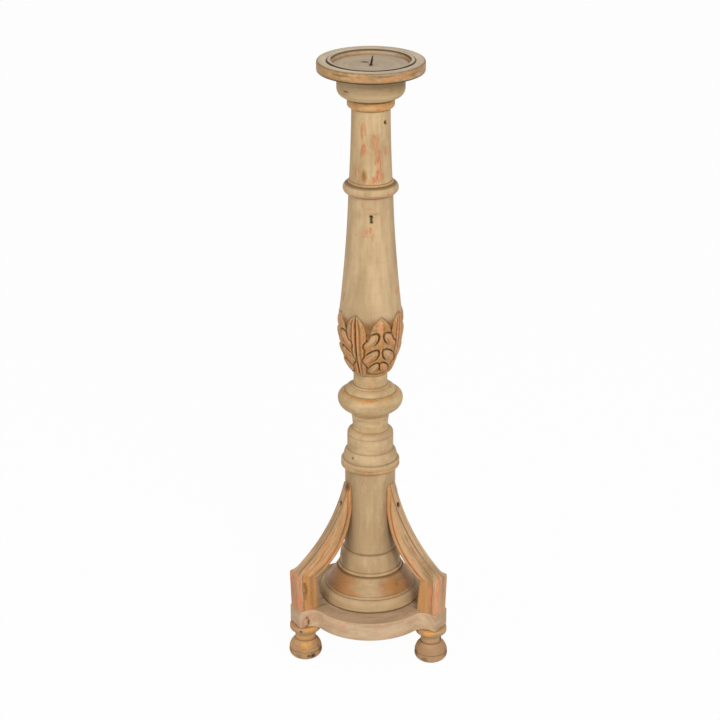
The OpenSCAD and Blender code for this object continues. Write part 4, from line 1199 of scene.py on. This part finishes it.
# The plug shows as a dark ring, and the stronger dark on its inner side is painted shadow of its rim.
plug = bell(plug, 1.0, 0.26) * (aside > 11) * (0.2 + 0.8 * smooth_step(95.0, 92.6, along))
store(base_plate.data, hole=plug, crease=0.36 * (base_at[:, 2] > Z_DRUM - 0.2) * (base_r > 60))
touch_up(base_plate, coral=[
    (-43, -68, 60, 9, 0.45), (-30, -80, 62, 8, 0.45), (-70, -60, 58, 9, 0.5), (63, -40, 60, 8, 0.4),
    (-77, -60, 53, 7, 0.55), (20, -86, 66, 7, 0.4), (92, -40, 56, 8, 0.4), (0, 96, 56, 12, 0.4)])
stand_for(base_plate, "base_paint", "base_plate")

# %% [markdown]
# The bun feet come from one outline. Each keeps its own share of gilding and
# its own chips, and its tenon runs up through the plate into the leg's post.

# %% Bun feet
FOOT_REACH = 88.75
# Middle of the bun's outline and its half width
BUN = (8, 10.5, 12.2)
FOOT_WASH = {"left": 0.62, "right": 0.3, "rear": 0.5}
FOOT_CHIPS = {
    "left": [(-66.5, -61.6, 8.5, 3.6, 1.0), (-71.5, -63.4, 9, 2.2, 0.9), (-80.9, -62.9, 42, 1.7, 1.0),
             (-58.5, -51, 14, 4, 0.85), (-60, -54, 20, 2.2, 0.8), (-92, -52, 9, 5, 0.4),
             (-84, -63, 8, 4, 0.35)],
    "right": [(89.4, -48, 31, 3.6, 1.0), (59, -52, 12, 5, 0.6), (95, -50, 12, 6, 0.5),
              (70, -62, 8, 4, 0.5)],
    "rear": [(6, 106, 8, 5, 0.7), (-14, 96, 40, 4, 0.6)]}
# Gilt patches on the buns and flanges; those on the front of the left and right buns are also a painted
# highlight.
FOOT_GILT_AND_HIGHLIGHT = {"left": [(-77, -62, 20, 7.5, 1.0), (-70, -59, 24, 6, 0.9), (-70, -62, 42, 7, 1.0)],
             "right": [(74, -62, 42, 8, 1.0), (66, -59, 40, 5, 0.9)], "rear": [(-4, 108, 18, 8, 0.9)]}
foot_line = ([(0, 0, 0), (8, 0, 0.1)] + sweep(*BUN, 10.5, -90, -40, 8, 0.1)
             + sweep(*BUN, 10.5, -35, 0, 7, 0.1)
             + [(20.0, 12.4, 0.1), (19.1, 13.2, 0.1), (19.9, 14.0, 0.3)]
             + sweep(*BUN, 16.6, 15, 69, 12, 0.8)
             + [(12.5, 29.6, 0.9), (13.0, 33.8, 0.5), (14.5, 37.6, 0.3)]
             + arc(16.4, 40.6, 2.6, -90, 0, 8, 0.8)
             + [(19.0, 45.0, 0.6), (18.4, 45.5, 0.5), (7, 45.5, 0), (7, 86.5, 0), (0, 86.5, 0)])
for name, bearing in LEG_TURNS.items():
    washed = [(r, z, gilt * FOOT_WASH[name]) for r, z, gilt in foot_line]
    foot = turn("bun_foot_" + name + "_turned", washed, paints["foot_gilt"], steps=112, waviness=0.4,
                seed=11.0 + bearing, gap=0.55, around=1.0)
    foot.data.transform(Matrix.Translation((*FOOT_REACH * MM * unit(bearing), 0)))
    touch_up(foot, crease=FOOT_CHIPS[name], gilt=FOOT_GILT_AND_HIGHLIGHT[name])
    stand_for(foot, "foot_gilt", "bun_foot_" + name)

# %% [markdown]
# Each leg is sawn from a board: a straight post, a knee and an arm that
# sweeps up to the pedestal. Wide bevels thin the arm towards its outer edge
# and leave a lip along the inner edge. On the post they shrink to a chamfer.
# The leg is lofted through stations that pair a point of the outer edge with
# one of the inner edge, and every station draws bevel, quirk and lip anew.

# %% Edges of a leg
TIP = np.array([32.6, 222.0])
KNEE = np.array([104.5, 115.5])
SEAT = np.array([30.1, 186.0])
CORNER = np.array([79.0, 109.5])
OUTER_R = 190.0
INNER_R = 101.0
SEAT_DEPTH = 1.5
SEAT_EASE = 60
POST_DEPTH = 27.5
N_ARM, N_SEAT, N_POST, N_SIDE, N_EDGE = 140, 40, 30, 60, 22


def arc_through(p, q, r, count):
    """Points from p to q on a circle of radius r whose centre lies to the left."""
    mid, d = (p + q) / 2, q - p
    c = mid + math.sqrt(r * r - d @ d / 4) * np.array([-d[1], d[0]]) / np.linalg.norm(d)
    half = math.degrees(math.asin(np.linalg.norm(d) / (2 * r)))
    m = bearing_of(mid - c)
    return np.array([c + r * unit(a) for a in np.linspace(m - half, m + half, count)])


def leg_edges():
    """Outer and inner edge of a leg, from the tip down the arm and the post."""
    seat_z = np.linspace(TIP[1], SEAT[1], N_SEAT)
    outer = arc_through(TIP, KNEE, OUTER_R, N_ARM)
    inner = np.vstack([np.column_stack([pedestal_radius(seat_z) - SEAT_DEPTH, seat_z]),
                       arc_through(SEAT, CORNER, INNER_R, N_ARM - N_SEAT + 1)[1:]])
    for _ in range(SEAT_EASE):
        even(inner)
    t = np.linspace(0, 1, N_POST + 1)[1:, None]
    foot_out, foot_in = np.array([EAR_REACH, Z_DRUM]), np.array([EAR_REACH - POST_DEPTH, Z_DRUM])
    return (np.vstack([outer, KNEE + (foot_out - KNEE) * t]),
            np.vstack([inner, CORNER + (foot_in - CORNER) * t]))


print("stations on a leg:", len(leg_edges()[0]))

# %% Section of a leg
LEG_HALF = 13.0
TIP_HALF = 8.5
EDGE_HALF = 6.0
CHAMFER = 2.5
LIP = 5.0
TIP_ROUND = 5.0


def leg_section(d, width, half, arm):
    """Half thickness at depth d behind the outer edge, for one station."""
    lip = max(width - LIP, 2.0)
    s = np.clip(d / lip, 0, 1)
    bevel = EDGE_HALF + (half - 0.7 - EDGE_HALF) * s - 0.8 * np.sin(np.pi * s)
    bevel = bevel - 0.4 * bell(d, 1.8, 0.9) - 0.9 * bell(d, lip - 0.5, 0.8)
    rim = half - 0.5 * ((d - lip - LIP / 2) / (LIP / 2)) ** 2
    moulded = np.where(d > lip, rim, bevel)
    post = half - np.maximum(0, CHAMFER - d) - 0.5 * smooth_step(6.0, 7.0, d)
    y = arm * moulded + (1 - arm) * post
    return y - 0.7 * bell(d, 0, 0.7) - 1.2 * bell(d, width, 1.0)


def leg_marks(d, width, arm, station, phase):
    """Gilding, dirt with painted shade in the grooves, rubbed edges and bare ground across one station."""
    lip = max(width - LIP, 2.0)
    post = 1 - arm
    clear = float(smooth_step(6, 34, station))
    wander = 0.04 * math.sin(station * 0.09 + phase) + 0.025 * math.sin(station * 0.31 + 2 * phase)
    edge = 6.0 + 0.5 * math.sin(station * 0.37) + 0.3 * math.sin(station * 1.7 + 1)

    def stroke(at, wide, pace, lag):
        """A stroke along the arm that wanders, comes and goes."""
        shown = 0.5 + 0.5 * math.sin(station * pace + phase * lag)
        return arm * bell(d / lip, at + wander, wide) * shown

    gilt = (arm * (0.45 + 0.2 * smooth_step(2, 6, d) + 0.8 * bell(d, lip + 2.2, 2.6))
            + post * 0.95 * smooth_step(edge - 0.6, edge + 0.6, d))
    # The dark lines in the two quirk grooves are painted shade; the wandering strokes are dark streaks in
    # the paint.
    crease = (arm * clear * (0.3 * bell(d, 1.6, 0.8) + 0.5 * bell(d, lip - 0.5, 0.8))
              + post * 0.6 * bell(d, edge + 0.4, 0.6) + arm * 0.7 * bell(d, 0.2, 0.8)
              + 0.2 * bell(arm, 0.3, 0.2) * smooth_step(4, 9, d)
              + 0.4 * stroke(0.5, 0.035, 0.12, 3) + 0.35 * stroke(0.26, 0.03, 0.17, 5))
    ridge = (0.8 * bell(d, 0, 1.2) + 0.7 * bell(d, width, 1.5) + arm * 0.6 * bell(d, lip + 1.0, 1.0)
             + 1.1 * stroke(0.6, 0.06, 0.1, 2) + 0.9 * stroke(0.36, 0.05, 0.14, 4))
    coral = (arm * (0.85 * bell(d, lip + 3.4, 1.5) + 0.2 * bell(d, 0.55 * lip, 0.4 * lip + 0.1))
             + 0.75 * stroke(0.8, 0.06, 0.11, 1) + 0.65 * stroke(0.2, 0.05, 0.13, 6)
             + post * 0.6 * smooth_step(edge, edge - 2, d))
    return {"gilt": gilt, "crease": crease, "ridge": ridge, "coral": coral}


print("bevel from", 2 * EDGE_HALF, "to", 2 * LEG_HALF, "mm")

# %% Legs
NAIL_Z = 196.0
NAIL_PIT, NAIL_HEAD, NAIL_OUT = 2.2, 3.4, 36
FLOW_ACROSS, FLOW_APART, FLOW_ALONG = 0.7, 1.7, 0.45
NAIL_SHOWS = {"left": 0.3, "right": 1.0, "rear": 0.6}
# Places in the leg's own frame: outwards, aside and up, then reach and strength
LEG_SPOTS = {
    "left": {"crease": [(35, 4, 219, 6.0, 0.95), (95.4, 12.5, 105, 2.4, 0.7), (94.4, 12.5, 101, 2.6, 0.7),
                        (93.4, 12.5, 97, 2.6, 0.65), (94.2, 12.5, 93, 2.4, 0.7),
                        (95.2, 12.5, 89, 2.2, 0.6), (95.0, 12.5, 85, 2.0, 0.5)],
             "coral": [(84, 6, 124, 8, 0.45), (88, 13, 71, 5, 0.6)]},
    "right": {"ridge": [(52, -2, 165, 7, 1.0), (60, -3, 152, 7, 1.0)],
              "crease": [(92, -10, 126, 12, 0.5), (84, -10, 134, 9, 0.4)],
              "coral": [(104, -3, 104, 12, 0.95), (104, -8, 86, 12, 0.85), (98, -12, 98, 8, 0.8)]},
    "rear": {"coral": [(60, 3, 155, 9, 0.5), (104, 2, 95, 9, 0.5)], "crease": [(84, -3, 126, 6, 0.5)]},
}
UNDER_MARKS = {"gilt": 0.6, "crease": 0.3, "ridge": 0.1, "coral": 0.2}


def leg_station(station, o, i, phase):
    """One closed ring of points round the leg, and its measures."""
    lift = np.clip((o[1] - KNEE[1]) / (TIP[1] - KNEE[1]), 0, 1)
    above = max(0.0, TIP_ROUND - float(np.linalg.norm(o - TIP)))
    half = LEG_HALF + (TIP_HALF - LEG_HALF) * lift
    half -= TIP_ROUND - math.sqrt(TIP_ROUND ** 2 - above ** 2)
    arm = float(smooth_step(N_ARM + 3, N_ARM - 12, float(station)))
    width = float(np.linalg.norm(i - o))
    d = np.linspace(0, 1, N_SIDE) * width
    y = leg_section(d, width, half, arm)
    inward = (i - o) / max(width, 1e-6)
    crown = np.linspace(1, -1, N_EDGE + 2)[1:-1]
    hollow = 0.5 * (1 - crown ** 2) * arm
    depth = np.concatenate([hollow, d, np.full(N_EDGE, width), d[::-1]])
    aside = np.concatenate([crown * y[0], -y, crown[::-1] * y[-1], y[::-1]])
    line = o + inward * depth[:, None]
    across = leg_marks(d, width, arm, station, phase)
    edge_marks = {"gilt": 0.2 * arm + 0.1, "crease": 0.0, "ridge": 0.25,
                  "coral": 0.3 * arm + 0.68 * (1 - arm)}
    marks = {mark: np.concatenate([np.full(N_EDGE, edge_marks[mark]), values,
                                   np.full(N_EDGE, UNDER_MARKS[mark]), values[::-1]])
             for mark, values in across.items()}
    return np.column_stack([line[:, 0], aside, line[:, 1]]), marks


def leg_mesh(name, bearing):
    made = [leg_station(k, o, i, bearing) for k, (o, i) in enumerate(zip(*leg_edges()))]
    stations, per = len(made), len(made[0][0])
    local = np.vstack([points for points, _ in made])
    marks = {mark: np.concatenate([m[mark] for _, m in made]) for mark in UNDER_MARKS}
    for mark, spots in LEG_SPOTS[name].items():
        marks[mark] = spotted(local, marks[mark], spots)
    nail = np.linalg.norm(local[:, 1:] - (0, NAIL_Z), axis=1)
    pit = np.clip(NAIL_HEAD - nail, 0, 1) * (local[:, 0] > NAIL_OUT)
    marks["hole"] = pit * NAIL_SHOWS[name]
    local[:, 0] -= NAIL_PIT * pit
    place = np.column_stack([turned(local, bearing), local[:, 2]]) * MM
    mesh = new_mesh("leg_" + name, place.tolist(), ring_faces(stations, per), marks)
    store_flow(mesh, MM * np.column_stack([
        np.tile(np.arange(per) * FLOW_ACROSS, stations), np.full(per * stations, bearing * FLOW_APART),
        np.repeat(np.arange(stations) * FLOW_ALONG, per)]))
    return mesh


for name, bearing in LEG_TURNS.items():
    leg = settle("leg_" + name + "_sawn", leg_mesh(name, bearing), paints["leg_paint"])
    stand_for(leg, "leg_paint", "leg_" + name)

# %% [markdown]
# The stick stands in plain soft studio light on a white ground. The floor
# shows white to the camera and keeps a soft shadow, because only part of its
# white comes from its own glow.

# %% Floor
FLOOR_HALF = 12.0
FLOOR_TONE = 0.86
FLOOR_GLOW = 0.97


def glow_floor():
    made, bench, _ = new_material("studio_white")
    nodes = made.node_tree.nodes
    nodes.remove(nodes["Principled BSDF"])
    matt = bench.add("ShaderNodeBsdfDiffuse", {"Color": (FLOOR_TONE, FLOOR_TONE, FLOOR_TONE, 1)})
    glow = bench.add("ShaderNodeEmission", {"Strength": 1.0})
    ray = bench.add("ShaderNodeLightPath").outputs
    seen = bench.calc("MAXIMUM", ray["Is Camera Ray"], ray["Is Glossy Ray"])
    mix = bench.add("ShaderNodeMixShader", {0: bench.times(seen, FLOOR_GLOW), 1: matt.outputs[0],
                                            2: glow.outputs[0]})
    bench.link(mix.outputs[0], nodes["Material Output"].inputs["Surface"])
    return made


corners = [(-FLOOR_HALF, -FLOOR_HALF, 0), (FLOOR_HALF, -FLOOR_HALF, 0),
           (FLOOR_HALF, FLOOR_HALF, 0), (-FLOOR_HALF, FLOOR_HALF, 0)]
floor = put("floor", new_mesh("floor", corners, [(0, 1, 2, 3)], {}))
floor.data.materials.append(glow_floor())
print("floor", 2 * FLOOR_HALF, "m wide")

# %% Sky and lamps
SKY_LEVEL = 0.42
LIGHT_AIM = Vector((0, 0, 0.35))
world = bpy.data.worlds.new("studio")
bpy.context.scene.world = world
world.use_nodes = True
sky = Bench(world.node_tree)
ray = sky.add("ShaderNodeLightPath").outputs
seen = sky.calc("MAXIMUM", ray["Is Glossy Ray"], ray["Is Transmission Ray"])
seen = sky.calc("MAXIMUM", ray["Is Camera Ray"], seen)
backdrop = world.node_tree.nodes["Background"].inputs
backdrop["Color"].default_value = (1, 1, 1, 1)
sky.link(sky.plus(SKY_LEVEL, sky.times(seen, 1 - SKY_LEVEL)), backdrop["Strength"])


def soft_box(name, place, size, power):
    lamp = bpy.data.lights.new(name, "AREA")
    lamp.shape = "DISK"
    lamp.size = size
    lamp.energy = power
    made = put(name, lamp)
    made.location = place
    made.rotation_euler = (LIGHT_AIM - Vector(place)).to_track_quat("-Z", "Y").to_euler()


soft_box("key", (1.1, -2.6, 2.5), 1.4, 62)
soft_box("fill", (-2.2, -2.0, 1.6), 1.8, 18)
bpy.context.scene.view_settings.view_transform = "Standard"
print("stage and light set")
